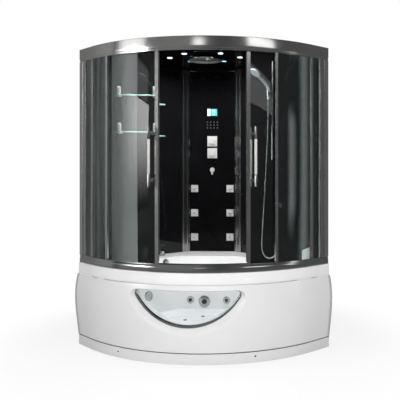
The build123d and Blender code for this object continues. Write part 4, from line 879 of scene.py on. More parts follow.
def tub_skirt():
    """Round acrylic skirt with a half-moon window recess.

    Its surface stands out from the front line by a cubic of the height. Round the window it sinks to the
    recess in a curve whose share is t squared times (3 - 2 t), eased by a power."""
    steps = 90
    share = np.linspace(-1.0, 1.0, steps)
    side, upper, lower = moon_edges(RECESS_GROW, share)
    x = WINDOW_X + side
    low_t = np.linspace(0.0, 1.0, 44)[:, None]
    low_z = SKIRT_BOTTOM_Z + (lower - SKIRT_BOTTOM_Z) * low_t
    top_t = np.linspace(0.0, 1.0, 12)[:, None]
    top_z = upper + (SKIRT_TOP_Z - upper) * top_t
    lows = on_front(np.broadcast_to(x, low_z.shape), low_z, skirt_proud(low_z))
    tops = on_front(np.broadcast_to(x, top_z.shape), top_z, skirt_proud(top_z))
    parts = [(lows.reshape(-1, 3), grid_faces(*low_z.shape)), (tops.reshape(-1, 3), grid_faces(*top_z.shape))]
    for end in (0, -1):
        z = np.concatenate([low_z[:, end], top_z[1:, end]])[:, None]
        proud = skirt_proud(z)
        edge = np.arcsin(x[end] / (FRONT_RADIUS + proud))
        turn = edge + (math.copysign(math.pi / 4, x[end]) - edge) * np.linspace(0.0, 1.0, 40)
        reach = FRONT_RADIUS + proud
        arc = np.stack([reach * np.sin(turn), ARC_Y - reach * np.cos(turn), np.broadcast_to(z, turn.shape)],
                       axis=-1)
        run = np.array([math.copysign(1.0, x[end]), 1.0, 0.0]) / ROOT_TWO
        wing = arc[:, -1:] + np.linspace(0.0, WING_LENGTH, 6)[None, 1:, None] * run
        sheet = np.concatenate([arc, wing], axis=1)
        parts.append((sheet.reshape(-1, 3), grid_faces(*sheet.shape[:2])))
    softness = detail_settings().recess_softness
    rings = []
    for t in np.linspace(0.0, 1.0, 14):
        ring_side, ring_upper, ring_lower = moon_edges(RECESS_GROW + (FRAME_GROW - RECESS_GROW) * t, share)
        ring_x = WINDOW_X + np.concatenate([ring_side, ring_side[-2:0:-1]])
        ring_z = np.concatenate([ring_upper, ring_lower[-2:0:-1]])
        sunk = (t * t * (3 - 2 * t)) ** softness
        outer = skirt_proud(ring_z)
        rings.append(on_front(ring_x, ring_z, outer + (RECESS_PROUD - outer) * sunk))
    ring_x = WINDOW_X + np.concatenate([ring_side, ring_side[-2:0:-1]])
    rings.append(on_front(ring_x, ring_z, np.full_like(ring_z, -0.004)))
    recess = np.stack(rings)
    parts.append((recess.reshape(-1, 3), grid_faces(*recess.shape[:2], wrap_columns=True)))
    skirt = new_piece("tub_skirt", parts, smooth=38.0, outward=False)
    shape = bmesh.new()
    shape.from_mesh(skirt.data)
    bmesh.ops.remove_doubles(shape, verts=shape.verts, dist=0.0002)
    bmesh.ops.recalc_face_normals(shape, faces=shape.faces)
    lowest = min(shape.faces, key=lambda face: face.calc_center_median().y)
    if lowest.normal.y > 0:
        bmesh.ops.reverse_faces(shape, faces=shape.faces)
    shape.to_mesh(skirt.data)
    shape.free()
    skirt.data.shade_smooth()
    skirt.data.set_sharp_from_angle(angle=math.radians(38.0))
    thick = skirt.modifiers.new("Acrylic thickness", "SOLIDIFY")
    thick.thickness = 0.005
    thick.offset = -1.0
    place(skirt, "cabin", "tub_acrylic", finish(white_acrylic), "skirt")
    # Black band filling the gap between skirt and plinth: painted shade of the groove.
    toe = front_band(rounded([(-0.006, 0.077), (0.004, 0.077), (0.006, 0.0841), (0.002, 0.0845),
                              (-0.006, 0.0845)], 0.001))
    groove = new_piece("skirt_groove_painted_shade", [toe])
    place(groove, "cabin", "tub_acrylic", finish(foot_plastic))


def moon_band(profile, name):
    """Band round the window: each profile point is (widening of the half-moon, distance out). The top run
    is drawn down by a third of the distance from the outermost point."""
    share = np.linspace(-1.0, 1.0, 110)
    outermost = max(grow for grow, out in profile)
    loops = []
    for grow, out in profile:
        side, upper, lower = moon_edges(grow, share)
        upper = upper - (outermost - grow) * 0.34 * np.clip((0.9 - np.abs(share)) * 10, 0.0, 1.0)
        x = WINDOW_X + np.concatenate([side, side[-2:0:-1]])
        z = np.concatenate([upper, lower[-2:0:-1]])
        loops.append(on_front(x, z, np.full_like(z, out)))
    points = np.stack(loops)
    return new_piece(name, [(points.reshape(-1, 3), grid_faces(len(loops), points.shape[1], True, True))],
                     smooth=50.0)


def window_frame():
    """Plated half-moon frame with a domed face: its profile runs outside, over the face and down to the
    pane."""
    profile = [(0.0168, -0.004), (0.0168, 0.0045), (0.0155, 0.0072), (0.0128, 0.0086), (0.0085, 0.0090),
               (0.0045, 0.0084),
               (0.0018, 0.0066), (0.0006, 0.0040), (0.0003, -0.028), (0.0165, -0.028)]
    frame_piece = moon_band(profile, "window_frame_plated")
    place(frame_piece, "cabin", "window_trim", finish(window_chrome), "window_frame")


def window_pane():
    """Clear curved pane of the tub's window, seated behind its frame."""
    share = np.linspace(-1.0, 1.0, 72)
    side, upper, lower = moon_edges(0.0160, share)
    t = np.linspace(0.0, 1.0, 12)[:, None]
    z = lower + (upper - lower) * t
    x = np.broadcast_to(WINDOW_X + side, z.shape)
    front = on_front(x, z, -0.0305)
    back = on_front(x, z, -0.0395)
    rim = np.concatenate([np.stack([front[0], back[0]]), np.stack([front[-1], back[-1]])[:, ::-1]], axis=1)
    parts = [(sheet.reshape(-1, 3), grid_faces(*z.shape)) for sheet in (front, back)]
    parts.append((rim.reshape(-1, 3), grid_faces(*rim.shape[:2], wrap_columns=True)))
    pane = new_piece("window_pane_clear", parts, smooth=50.0)
    place(pane, "cabin", "window_glass", finish(pane_acrylic), "window_pane")


def plinth():
    """Plinth strip under the skirt, with small domed screws."""
    strip = new_piece("plinth_band", [front_band(rounded([(0.0, 0.004), (0.004, 0.004), (0.004, 0.077),
                                                          (0.0, 0.077)], 0.0015))])
    place(strip, "cabin", "tub_acrylic", finish(white_acrylic), "plinth_strip")
    heads = []
    for angle in (-29.0, 20.5):
        out = arc_spot(angle, 1.0, 0.0) - arc_spot(angle, 0.0, 0.0)
        heads.append(turned([(0.0, 0.0), (0.0068, 0.0), (0.0066, 0.0012), (0.0045, 0.0026), (0.0020, 0.0030),
                             (0.0018, 0.0020), (0.0, 0.0020)], arc_spot(angle, FRONT_RADIUS + 0.0042, 0.0478),
                            out, 28))
    place(new_piece("plinth_screw_heads", heads), "cabin", "chrome_trim", finish(chrome), "plinth_screws")


# Cabin frame


def bottom_rail():
    """Hollow rail on the tub's rim: a softly rounded front face, and two fins that hold the fixed glass."""
    section = rounded([(-0.002, RIM_Z), (-0.002, 0.664), (-0.005, 0.6705), (-0.005, LIP_TOP_Z),
                       (-0.0097, LIP_TOP_Z),
                       (-0.0097, RAIL_TOP_Z), (-0.0163, RAIL_TOP_Z), (-0.0163, LIP_TOP_Z),
                       (-0.020, LIP_TOP_Z), (-0.020, RAIL_TOP_Z),
                       (-0.064, RAIL_TOP_Z), (-0.064, RIM_Z)], 0.0016, 3)
    rail = new_piece("bottom_rail_profile", [front_band(section)])
    guide = arc_band([(1.1045, RAIL_TOP_Z), (1.1085, RAIL_TOP_Z), (1.1085, LIP_TOP_Z), (1.1045, LIP_TOP_Z)],
                     -52.6, 52.6, 90)
    place(rail, "cabin", "frame_metal", finish(rail_metal), "bottom_rail")
    place(new_piece("door_guide", [guide]), "cabin", "frame_metal", finish(upright_metal))


def fascia():
    """Polished curved band on top: a slight bow in its face, a top flange and the channels for the fixed
    glass.

    The bow stands out by nothing at both edges, within the band's own thickness."""
    section = rounded([(-0.0025, FASCIA_BOTTOM_Z), (-0.0006, 2.186), (0.0, 2.2), (0.0, 2.2626),
                       (-0.0026, TOTAL_HEIGHT), (-0.084, TOTAL_HEIGHT),
                       (-0.084, FLANGE_Z), (-0.020, FLANGE_Z), (-0.020, LIP_BOTTOM_Z),
                       (-0.0163, LIP_BOTTOM_Z), (-0.0163, 2.2575),
                       (-0.0097, 2.2575), (-0.0097, LIP_BOTTOM_Z), (-0.005, LIP_BOTTOM_Z),
                       (-0.005, FASCIA_BOTTOM_Z)], 0.0012, 3)
    band = new_piece("fascia_profile", [front_band(section)])
    place(band, "cabin", "frame_metal", finish(fascia_metal), "fascia")


def frame_uprights():
    """Posts, joint bars, doorway strikes and the inner track, as drawn aluminium with eased edges."""
    width = detail_settings().edge_width
    dress("upright_profiles", "uprights", width, "cabin", "frame_metal", upright_metal)
    dress("wall_post_profiles", "wall_posts", width * 1.6, "cabin", "frame_metal", post_metal)
    dress("roller_track", "top_track", 0.0004, "cabin", "frame_metal", upright_metal)


def pane_section(outer, low, high):
    """Cross-section of a pane with ground edges."""
    return rounded([(outer - 0.006, low), (outer, low), (outer, high), (outer - 0.006, high)], 0.0008, 2)


# Curved panes: first and last angle from the front's middle, and steps. Flat panes: run along each wing
CURVED_PANES = ((-44.83, -35.50, 30), (28.70, 44.83, 44))
FLAT_PANE_RUN = ((0.0035,), (0.1265,))


def fixed_panes():
    """Fixed panes of clear glass: a curved one beside each doorway and a flat one in each wing."""
    section = pane_section(GLASS_OUTER, RAIL_TOP_Z + 0.002, LIP_BOTTOM_Z + 0.055)
    parts = [arc_band(section, *span) for span in CURVED_PANES]
    angle = math.pi / 4
    for side in (-1, 1):
        outward = np.array([side * math.sin(angle), -math.cos(angle), 0.0])
        run = np.array([side * math.cos(angle), math.sin(angle), 0.0])
        start = np.array([0.0, ARC_Y, 0.0])
        origins = start + np.array(FLAT_PANE_RUN) * run
        parts.append(carried(section, origins, np.tile(outward, (2, 1)), np.tile([0.0, 0.0, 1.0], (2, 1))))
    place(new_piece("fixed_panes", parts, smooth=30.0), "cabin", "clear_glass", finish(clear_glass),
          "fixed_glass")


# Each door's side, then angles from the front's middle: its pane's two ends, its seal and its handle
DOORS = (("left", -46.38, -14.76, -13.40, -15.85), ("right", 19.26, 50.88, 17.90, 20.35))


def doors():
    """Sliding doors: curved pane, drawn frame, dark seal on the lead edge, and a handle with two bars."""
    for side, first, last, lead, handle in DOORS:
        body = f"{side}_door"
        pane = new_piece(f"{side}_door_pane", [arc_band(pane_section(DOOR_OUTER, 0.6742, 2.1745), first, last,
                                                        80)], 30.0)
        place(pane, body, "clear_glass", finish(clear_glass), f"{side}_door_glass")
        dress(f"{side}_door_profile", f"{side}_door_frame", 0.0009, body, "frame_metal", upright_metal)
        seal = new_piece(f"{side}_door_seal", [arc_band([(1.1315, 0.70), (1.1345, 0.70), (1.1345, 2.16),
                                                         (1.1315, 2.16)],
                                                         lead - 0.12, lead + 0.12, 3)])
        place(seal, body, "clear_glass", finish(seal_rubber))
        door_handle(side, body, handle)
        for end in ("lead", "trail"):
            roller(f"{side}_{end}_roller")


HANDLE_BARS = (1.195, 1.079)
HANDLE_FOOT_Z = 1.226
HANDLE_PIN_Z = (1.27, 1.598)


def door_handle(side, body, angle):
    """Door handle: a bar outside and one inside, each with a pale sleeve between bright caps, on two pins."""
    bright, pale = [], []
    for radius in HANDLE_BARS:
        foot = arc_spot(angle, radius, HANDLE_FOOT_Z)
        bright.append(turned([(0.0, 0.0), (0.0078, 0.0), (0.0090, 0.0012), (0.0090, 0.104), (0.0082, 0.1052),
                              (0.0, 0.1052)],
                             foot, (0, 0, 1), 32))
        bright.append(turned([(0.0, 0.3108), (0.0082, 0.3108), (0.0090, 0.312), (0.0090, 0.4148),
                              (0.0078, 0.416), (0.0, 0.416)],
                             foot, (0, 0, 1), 32))
        pale.append(turned([(0.0, 0.088), (0.0088, 0.088), (0.0098, 0.0892), (0.0098, 0.3268),
                            (0.0088, 0.328), (0.0, 0.328)],
                           foot, (0, 0, 1), 36))
    out = arc_spot(angle, 1.0, 0.0) - arc_spot(angle, 0.0, 0.0)
    for z in HANDLE_PIN_Z:
        bright.append(turned([(0.0, 0.0), (0.006, 0.0), (0.006, 0.116), (0.0, 0.116)],
                             arc_spot(angle, HANDLE_BARS[1], z), out, 24))
        for radius in (1.1405, 1.1255):
            bright.append(turned([(0.0, 0.0), (0.0115, 0.0), (0.0125, 0.0010), (0.0125, 0.0070),
                                  (0.0115, 0.0080), (0.0, 0.0080)],
                                 arc_spot(angle, radius, z), out, 32))
    place(new_piece(f"{side}_handle_bars", bright, 40.0), body, "chrome_trim", finish(chrome),
          f"{side}_door_handle")
    place(new_piece(f"{side}_handle_sleeves", pale, 40.0), body, "chrome_trim", finish(handle_sleeve))


def roller(node):
    """Door roller: the CAD wheel with eased edges."""
    dress(f"{node}_wheel", node, 0.0004, node, "roller_plastic", roller_plastic, 2, 40.0)


# Walls and fittings of the cabin


def wall_panels():
    """Back-painted glass walls and the black column between its two bright ribbed strips."""
    for side in ("left", "right"):
        dress(f"{side}_wall_glass", f"{side}_wall_panel", 0.0015, "cabin", "dark_glass", wall_glass)
    dress("column_face", "column_panel", 0.001, "cabin", "dark_glass", column_black)
    dress("ribbed_strips", "column_strips", 0.0008, "cabin", "frame_metal", strip_metal)


def roof():
    """Ceiling with its raised edge and cove."""
    dress("ceiling_panel", "roof_panel", 0.0012, "cabin", "tub_acrylic", column_black)


SPOT_PLACES = ((-0.276, -0.1052), (0.276, -0.1052), (-0.138, -0.2722), (0.138, -0.2722), (-0.138, 0.0618),
               (0.138, 0.0618), (0.0, 0.1178))


def ceiling_lamps():
    """Ceiling lamps: a plated ring round each domed lens. The four at the front are white and the rest
    bluish."""
    rings, white, blue = [], [], []
    for number, (x, y) in enumerate(SPOT_PLACES):
        centre = (x, y, ROOF_Z)
        rings.append(turned([(0.0, 0.0), (0.0265, 0.0), (0.0265, 0.002), (0.0245, 0.0040), (0.0215, 0.0042),
                             (0.0195, 0.003),
                             (0.0, 0.003)], centre, (0, 0, -1), 40))
        lens = turned([(0.0, 0.0032), (0.0192, 0.0032), (0.0180, 0.0040), (0.0120, 0.0046), (0.0, 0.0049)],
                      centre,
                      (0, 0, -1), 36)
        (white if number < 4 else blue).append(lens)
    place(new_piece("lamp_rings", rings), "cabin", "lamp_cover", finish(chrome), "ceiling_spots")
    place(new_piece("lamp_lenses_white", white), "cabin", "lamp_cover", finish(lamp_white))
    place(new_piece("lamp_lenses_blue", blue), "cabin", "lamp_cover", finish(lamp_blue))


RAIN_HEAD_BACK = 0.820
RAIN_RING_STEP = 0.0205


def rain_head():
    """Round rain shower on its stub, with rings of small rubber nozzles under the plate.

    The nozzles stand on rings: the n-th ring has six times n of them, evenly turned."""
    centre = np.array([0.0, CORNER_Y - RAIN_HEAD_BACK, ROOF_Z])
    plate = turned([(0.0, 0.0), (0.014, 0.0), (0.014, 0.012), (0.022, 0.016), (0.128, 0.016), (0.136, 0.0175),
                    (0.1392, 0.021),
                    (0.1392, 0.023), (0.134, 0.0268), (0.0, 0.0268)], centre, (0, 0, -1), 96)
    place(new_piece("rain_plate", [plate], 40.0), "cabin", "chrome_trim", finish(chrome), "rain_head")
    ring = np.repeat(np.arange(1, 7), 6 * np.arange(1, 7))
    order = np.concatenate([np.arange(6 * n) / (6 * n) for n in range(1, 7)])
    turn = 2 * np.pi * order
    spots = centre + np.column_stack([RAIN_RING_STEP * ring * np.cos(turn),
                                      RAIN_RING_STEP * ring * np.sin(turn), np.full(len(ring), -0.0266)])
    nibs = [turned([(0.0, 0.0), (0.0042, 0.0), (0.0032, 0.0011), (0.0, 0.0012)], spot, (0, 0, -1),
                   10) for spot in spots]
    place(new_piece("rain_nibs", nibs), "cabin", "chrome_trim", finish(roller_plastic))


def vent():
    """Fan vent in the ceiling: the pale cover with its grille of slots, all in one pale finish."""
    dress("vent_housing", "vent_cover", 0.0025, "cabin", "tub_acrylic", vent_plastic, 3)


def shelves():
    """Two glass shelves with rounded front corners, held by plated clamps."""
    dress("shelf_panes", "glass_shelves", 0.0008, "cabin", "clear_glass", shelf_glass)
    dress("shelf_clamps", "shelf_brackets", 0.0016, "cabin", "chrome_trim", satin_plate, 3)


def column_fittings():
    """Plates of the jets and valves, and the hook, as bright castings with eased edges."""
    dress("column_plates", "column_trim", 0.0016, "cabin", "chrome_trim", satin_plate, 3)
    for name in ("temperature", "selector"):
        dress(f"{name}_grip", f"{name}_knob", 0.0030, f"{name}_knob", "chrome_trim", satin_plate, 4)


def body_jets():
    """Six nozzles: a barrel with a spout, and a near-black disc on its mouth as painted shade of the bore."""
    for number in range(1, 7):
        node = f"jet_nozzle_{number}"
        side = -0.157 if number < 4 else 0.157
        z = (1.175, 0.961, 0.747)[(number - 1) % 3]
        dress(f"{node}_barrel", node, 0.0010, node, "chrome_trim", satin_plate, 3)
        # Thin near-black disc on the spout's face: painted shade of the nozzle's opening.
        mouth = turned([(0.0, 0.0), (0.0046, 0.0), (0.0040, 0.0007), (0.0, 0.0004)],
                       (side, COLUMN_Y - 0.0224, z), (0, -1, 0), 24)
        place(new_piece(f"{node}_mouth", [mouth]), node, "chrome_trim", finish(dark_socket))


SEGMENTS = {"0": "abcdef", "2": "abged", "3": "abgcd", "5": "afgcd", "6": "afgedc", "8": "abcdefg"}


def digit_bars(text, left, top, height, depth):
    """Bars of seven-part digits on the column's face: text from a left edge and a top height."""
    wide, bar = height * 0.5, height * 0.13
    places = {"a": (0.5, 1.0, True), "g": (0.5, 0.5, True), "d": (0.5, 0.0, True), "f": (0.0, 0.75, False),
              "b": (1.0, 0.75, False), "e": (0.0, 0.25, False), "c": (1.0, 0.25, False)}
    bars = []
    for number, digit in enumerate(text):
        for part in SEGMENTS[digit]:
            across, up, level = places[part]
            x = left + number * wide * 1.6 + across * wide
            z = top - height + up * height
            half = (wide * 0.38, bar / 2) if level else (bar / 2, height * 0.19)
            bars.append(column_block(x, z, half[0], half[1], depth, 0.0003))
    return bars


def column_block(x, z, half_width, half_height, front, thickness, ease=0.0006):
    """Thin raised block on the column's face, with eased corners."""
    outline = rounded([(-half_width, -half_height), (half_width, -half_height), (half_width, half_height),
                       (-half_width, half_height)], ease, 3)
    origins = np.array([[x, COLUMN_Y - front + thickness, z], [x, COLUMN_Y - front, z]])
    return carried(outline, origins, np.tile([1.0, 0.0, 0.0], (2, 1)), np.tile([0.0, 0.0, 1.0], (2, 1)))


def control_display():
    """Control screen: a dark glass with a rose part, a teal part with plain digits, and twelve touch keys
    below."""
    dress("display_case", "display", 0.0012, "cabin", "display_face", column_black, 3)
    rose = [column_block(-0.0290, 1.848, 0.0125, 0.0300, 0.00715, 0.0004)]
    teal = [column_block(0.0155, 1.848, 0.0270, 0.0300, 0.00715, 0.0004)]
    marks = digit_bars("36", 0.0005, 1.868, 0.020, 0.0075) + digit_bars("25", 0.0050, 1.838, 0.012, 0.0075)
    place(new_piece("screen_rose_part", rose), "cabin", "display_face", finish(screen_rose))
    place(new_piece("screen_teal_part", teal), "cabin", "display_face", finish(screen_teal))
    place(new_piece("screen_digits", marks), "cabin", "display_face", finish(screen_white))
    keys = [column_block(x, z, 0.0055, 0.0055, 0.0010, 0.0008, 0.0024)
            for x in (-0.0435, -0.0150, 0.0150, 0.0450) for z in (1.762, 1.737, 1.712)]
    place(new_piece("touch_keys", keys), "cabin", "display_face", finish(key_white))


def hand_shower():
    """Hand shower in its tilting holder on the slide bar, and the hose's elbow on the wall."""
    dress("slide_bar_tube", "slide_bar", 0.0008, "cabin", "chrome_trim", chrome, 2, 40.0)
    dress("slider_clamp", "slider", 0.0010, "slider", "shower_plastic", chrome, 2, 40.0)
    dress("holder_cup", "shower_holder", 0.0010, "shower_holder", "shower_plastic", chrome, 2, 40.0)
    dress("hand_shower_body", "hand_shower", 0.0022, "shower_holder", "shower_plastic", shower_plastic, 3,
          24.0)
    dress("hose_elbow", "wall_elbow", 0.0012, "cabin", "chrome_trim", chrome, 3)


def steam_outlet():
    """Steam outlet's cover low on the right wall."""
    dress("steam_grille", "steam_cover", 0.0030, "cabin", "tub_acrylic", vent_plastic, 4)


# Tub


def tub():
    """Tub shell with its rim, deck and basin, softened at every bend."""
    dress("tub_moulding", "tub_shell", 0.0060, "cabin", "tub_acrylic", tub_white, 3, 20.0)


TAPS = (("hot", 0.849), ("cold", 0.754), ("diverter", 0.636))


def taps():
    """Three deck taps: a bell base, and a handle with six soft lobes under a domed cap."""
    bases = []
    for name, along in TAPS:
        foot = wall_spot(-1, along, 0.075, DECK_Z)
        bases.append(turned([(0.0, 0.0), (0.0255, 0.0), (0.0258, 0.0030), (0.0225, 0.0062), (0.0105, 0.0070),
                             (0.0066, 0.0095),
                             (0.0066, 0.038), (0.0, 0.038)], foot, (0, 0, 1), 44))
        handle = turned([(0.0072, 0.0076), (0.0140, 0.0076), (0.0182, 0.0100), (0.0188, 0.0140),
                         (0.0188, 0.0400), (0.0180, 0.0440),
                         (0.0140, 0.0475), (0.0060, 0.0505), (0.0, 0.0512), (0.0, 0.0400), (0.0072, 0.0400)],
                        foot, (0, 0, 1),
                        96, 6, 0.16)
        node = f"{name}_tap_handle"
        place(new_piece(f"{name}_handle_lobed", [handle], 40.0), node, "chrome_trim", finish(chrome), node)
    place(new_piece("tap_bells", bases, 40.0), "cabin", "chrome_trim", finish(chrome), "tap_bases")


def tub_fittings():
    """Jets, suction, air jets and waste of the basin, and the overflow's turning knob."""
    dress("basin_fittings", "tub_fittings", 0.0012, "cabin", "chrome_trim", chrome, 3)
    dress("overflow_grip", "overflow_knob", 0.0022, "overflow_knob", "chrome_trim", chrome, 4)
    dress("waste_trap", "waste_outlet", 0.0008, "cabin", "chrome_trim", chrome, 2, 40.0)
    # Thin near-black discs on the three basin jets' mouths: painted shade of their openings.
    mouths = []
    for x, z, radius in ((-0.150, 0.262, 0.031), (0.150, 0.262, 0.031), (-0.034, 0.250, 0.049)):
        start = np.array([x, 0.1560, z - 0.0002]) + np.array([0.0, -0.0016, 0.0])
        mouths.append(turned([(0.0, 0.0), (radius * 0.42, 0.0), (radius * 0.38, 0.0008), (0.0, 0.0004)],
                             start, (0, -1, 0.05), 36))
    place(new_piece("basin_jet_mouth_shades", mouths), "cabin", "chrome_trim", finish(dark_socket))


def carcass():
    """Parts under the tub: steel carcass, feet and pump."""
    dress("carcass_tubes", "support_frame", 0.0012, "cabin", "carcass_metal", carcass_steel)
    dress("rubber_feet", "levelling_feet", 0.0010, "cabin", "foot_plastic", foot_plastic, 2, 40.0)
    dress("pump_body", "massage_pump", 0.0016, "cabin", "pump_casing", pump_casing, 3, 40.0)


# Stage


def aim_at(thing, spot, target):
    """Moves a lamp or card to a spot and turns its front to a target."""
    thing.location = spot
    way = np.array(target, float) - np.array(spot, float)
    thing.rotation_euler = (math.atan2(math.hypot(way[0], way[1]), -way[2]), 0.0, math.atan2(-way[0], way[1]))
    bpy.context.scene.collection.objects.link(thing)
    return thing


def lamp(name, spot, target, size, power):
    """Rectangular lamp that lights the object and isn't mirrored in it."""
    light = bpy.data.lights.new(name, "AREA")
    light.shape = "RECTANGLE"
    light.size, light.size_y = size
    light.energy = power * stage_settings().lamp_level
    holder = aim_at(bpy.data.objects.new(name, light), spot, target)
    holder.visible_glossy = False
    holder.visible_transmission = False
    holder.visible_camera = False
    return holder


def card_glow(name, strength, size, fades):
    """Light of a card: full in the middle and fading towards its left, right, bottom and top edge by those
    widths."""
    material = bpy.data.materials.new(name)
    material.use_nodes = True
    tree = material.node_tree
    tree.nodes.clear()
    where = tree.nodes.new("ShaderNodeTexCoord")
    parts = tree.nodes.new("ShaderNodeSeparateXYZ")
    tree.links.new(where.outputs["Object"], parts.inputs[0])
    product = None
    for axis, edge, fade in (("X", -1, fades[0]), ("X", 1, fades[1]), ("Y", -1, fades[2]),
                             ("Y", 1, fades[3])):
        half = size[0 if axis == "X" else 1] / 2
        ramp = tree.nodes.new("ShaderNodeMapRange")
        ramp.interpolation_type = "SMOOTHSTEP"
        ramp.inputs["From Min"].default_value = edge * half
        ramp.inputs["From Max"].default_value = edge * (half - fade)
        tree.links.new(parts.outputs[axis], ramp.inputs["Value"])
        value = ramp.outputs["Result"]
        product = value if product is None else computed(tree, "MULTIPLY", product, value)
    light = tree.nodes.new("ShaderNodeEmission")
    tree.links.new(computed(tree, "MULTIPLY", product, float(strength)), light.inputs["Strength"])
    result = tree.nodes.new("ShaderNodeOutputMaterial")
    tree.links.new(light.outputs["Emission"], result.inputs["Surface"])
    return material


def card(name, spot, target, size, strength, fades):
    """Glowing card that is only seen mirrored in glass and metal."""
    t = np.linspace(-0.5, 0.5, 5)
    x, y = np.meshgrid(t * size[0], t * size[1])
    points = np.stack([x, y, np.zeros_like(x)], axis=-1).reshape(-1, 3)
    mesh = bpy.data.meshes.new(name)
    mesh.from_pydata(points.tolist(), [], grid_faces(5, 5))
    mesh.materials.append(card_glow(name, strength * stage_settings().lamp_level, size, fades))
    sheet = aim_at(bpy.data.objects.new(name, mesh), spot, target)
    sheet.visible_camera = False
    sheet.visible_diffuse = False
    sheet.visible_shadow = False
    return sheet


MIRRORED_TONES = ((-120.0, 0.16), (-84.0, 0.30), (-45.0, 0.18), (-18.0, 0.20), (12.0, 0.06), (28.0, 0.10),
                  (60.0, 0.08),
                  (110.0, 0.10))


def white_room():
    """White room for the camera, a dimmer one for scattered rays, and a grey one for mirrored rays.

    The grey is led by the bearing of the ray in degrees, the arc tangent of its x over its -y, through the
    stops of MIRRORED_TONES."""
    world = bpy.data.worlds.new("white_room")
    bpy.context.scene.world = world
    world.use_nodes = True
    tree = world.node_tree
    room = tree.nodes["Background"]
    room.inputs["Color"].default_value = (1.0, 1.0, 1.0, 1.0)
    room.inputs["Strength"].default_value = stage_settings().room_level
    where = tree.nodes.new("ShaderNodeTexCoord")
    parts = tree.nodes.new("ShaderNodeSeparateXYZ")
    tree.links.new(where.outputs["Generated"], parts.inputs[0])
    forward = computed(tree, "MULTIPLY", parts.outputs["Y"], -1.0)
    bearing = computed(tree, "ARCTAN2", parts.outputs["X"], forward)
    share = tree.nodes.new("ShaderNodeMapRange")
    share.inputs["From Min"].default_value = -math.pi
    share.inputs["From Max"].default_value = math.pi
    tree.links.new(bearing, share.inputs["Value"])
    tones = tree.nodes.new("ShaderNodeValToRGB")
    tones.color_ramp.interpolation = "EASE"
    for number, (angle, tone) in enumerate(MIRRORED_TONES):
        stop = tones.color_ramp.elements[number] if number < 2 else tones.color_ramp.elements.new(1.0)
        stop.position = (angle + 180.0) / 360.0
        stop.color = (tone, tone, tone, 1.0)
    tree.links.new(share.outputs["Result"], tones.inputs["Fac"])
    mirrored = tree.nodes.new("ShaderNodeBackground")
    tree.links.new(tones.outputs["Color"], mirrored.inputs["Color"])
    seen = tree.nodes.new("ShaderNodeBackground")
    seen.inputs["Color"].default_value = (1.0, 1.0, 1.0, 1.0)
    path = tree.nodes.new("ShaderNodeLightPath")
    scattered = blended(tree, path.outputs["Glossy Depth"], room.outputs["Background"],
                        mirrored.outputs["Background"])
    bounces = computed(tree, "ADD", path.outputs["Glossy Depth"], path.outputs["Diffuse Depth"])
    choice = blended(tree, computed(tree, "LESS_THAN", bounces, 0.5), scattered, seen.outputs["Background"])
    tree.links.new(choice, tree.nodes["World Output"].inputs["Surface"])


CAMERA_SPOT = (0.5243, -4.7847, 1.3463)
CAMERA_TURN = 2.27
CAMERA_SHIFT = (-0.1198, -0.077)
SENSOR_WIDTH = 36.0


def stage():
    """White studio: camera, lamps, cards that the metal mirrors, a white room and a floor that keeps the
    shadow."""
    settings = stage_settings()
    scene = bpy.context.scene
    camera = bpy.data.cameras.new("photo_camera")
    camera.lens = settings.lens
    camera.sensor_width = SENSOR_WIDTH
    camera.shift_x, camera.shift_y = CAMERA_SHIFT
    camera.clip_end = 100.0
    eye = bpy.data.objects.new("photo_camera", camera)
    eye.location = CAMERA_SPOT
    eye.rotation_euler = (math.pi / 2, 0.0, math.radians(CAMERA_TURN))
    scene.collection.objects.link(eye)
    scene.camera = eye
    lights = [
        lamp("front_softbox", (0.3, -5.0, 2.6), (0.0, 0.0, 0.7), (2.6, 2.0), 120.0),
        lamp("roof_softbox", (0.0, -0.6, 4.6), (0.0, 0.0, 0.0), (3.0, 3.0), 60.0),
        lamp("cabin_glow", (0.0, -0.15, 2.15), (0.0, -0.15, 0.0), (0.7, 0.7), 22.0),
        card("left_card", (-3.0, -2.1, 1.56), (0.0, -2.1, 1.56), (2.1, 2.32), 9.5, (1.6, 0.03, 2.1, 0.03)),
        card("high_left_card", (-3.0, -2.1, 3.16), (0.0, -2.1, 3.16), (2.1, 0.88), 1.3,
             (0.6, 0.3, 0.05, 0.2)),
        card("low_left_card", (-3.1, -2.1, 1.3), (0.0, -2.1, 1.3), (2.1, 3.4), 0.25, (0.50, 0.03, 0.3, 0.3)),
        card("middle_card", (-0.35, -5.2, 3.3), (-0.35, 0.0, 3.3), (1.2, 1.1), 1.8, (0.50, 0.50, 0.2, 0.2)),
        card("right_card", (4.05, -4.0, 3.6), (4.05, 0.0, 3.6), (3.0, 1.3), 1.7, (0.08, 0.08, 0.1, 0.2)),
        card("side_card", (3.0, -1.15, 1.3), (0.0, -1.15, 1.3), (0.55, 2.0), 1.7, (0.2, 0.3, 0.4, 0.3)),
    ]
    turn = np.linspace(0.0, 2 * np.pi, 96, endpoint=False)[:, None]
    reach = np.array([0.0, 1.0, 2.4, settings.floor_radius])[None, :]
    points = np.stack(np.broadcast_arrays(reach * np.cos(turn), reach * np.sin(turn),
                                          np.full((1, 1), -0.0005)), axis=-1)
    floor = new_piece("studio_floor", [(points.reshape(-1, 3), grid_faces(96, 4, wrap_rows=True))],
                      outward=False)
    if floor.data.polygons[0].normal.z < 0:
        floor.data.flip_normals()
    floor.data.materials.append(finish(pale_floor))
    white_room()
    scene.view_settings.view_transform = "Standard"


# Commands


class ENCLOSURE_OT_shower_hose(bpy.types.Operator):
    """Lays the hand shower's hose from the elbow to the grip"""

    bl_idname = "enclosure.shower_hose"
    bl_label = "Lay shower hose"

    def execute(self, context):
        shower_hose()
        return {"FINISHED"}


class ENCLOSURE_OT_tub_front(bpy.types.Operator):
    """Makes the skirt with its window, the pane, its frame and the plinth"""

    bl_idname = "enclosure.tub_front"
    bl_label = "Build tub front"

    def execute(self, context):
        tub_skirt()
        window_frame()
        window_pane()
        plinth()
        return {"FINISHED"}


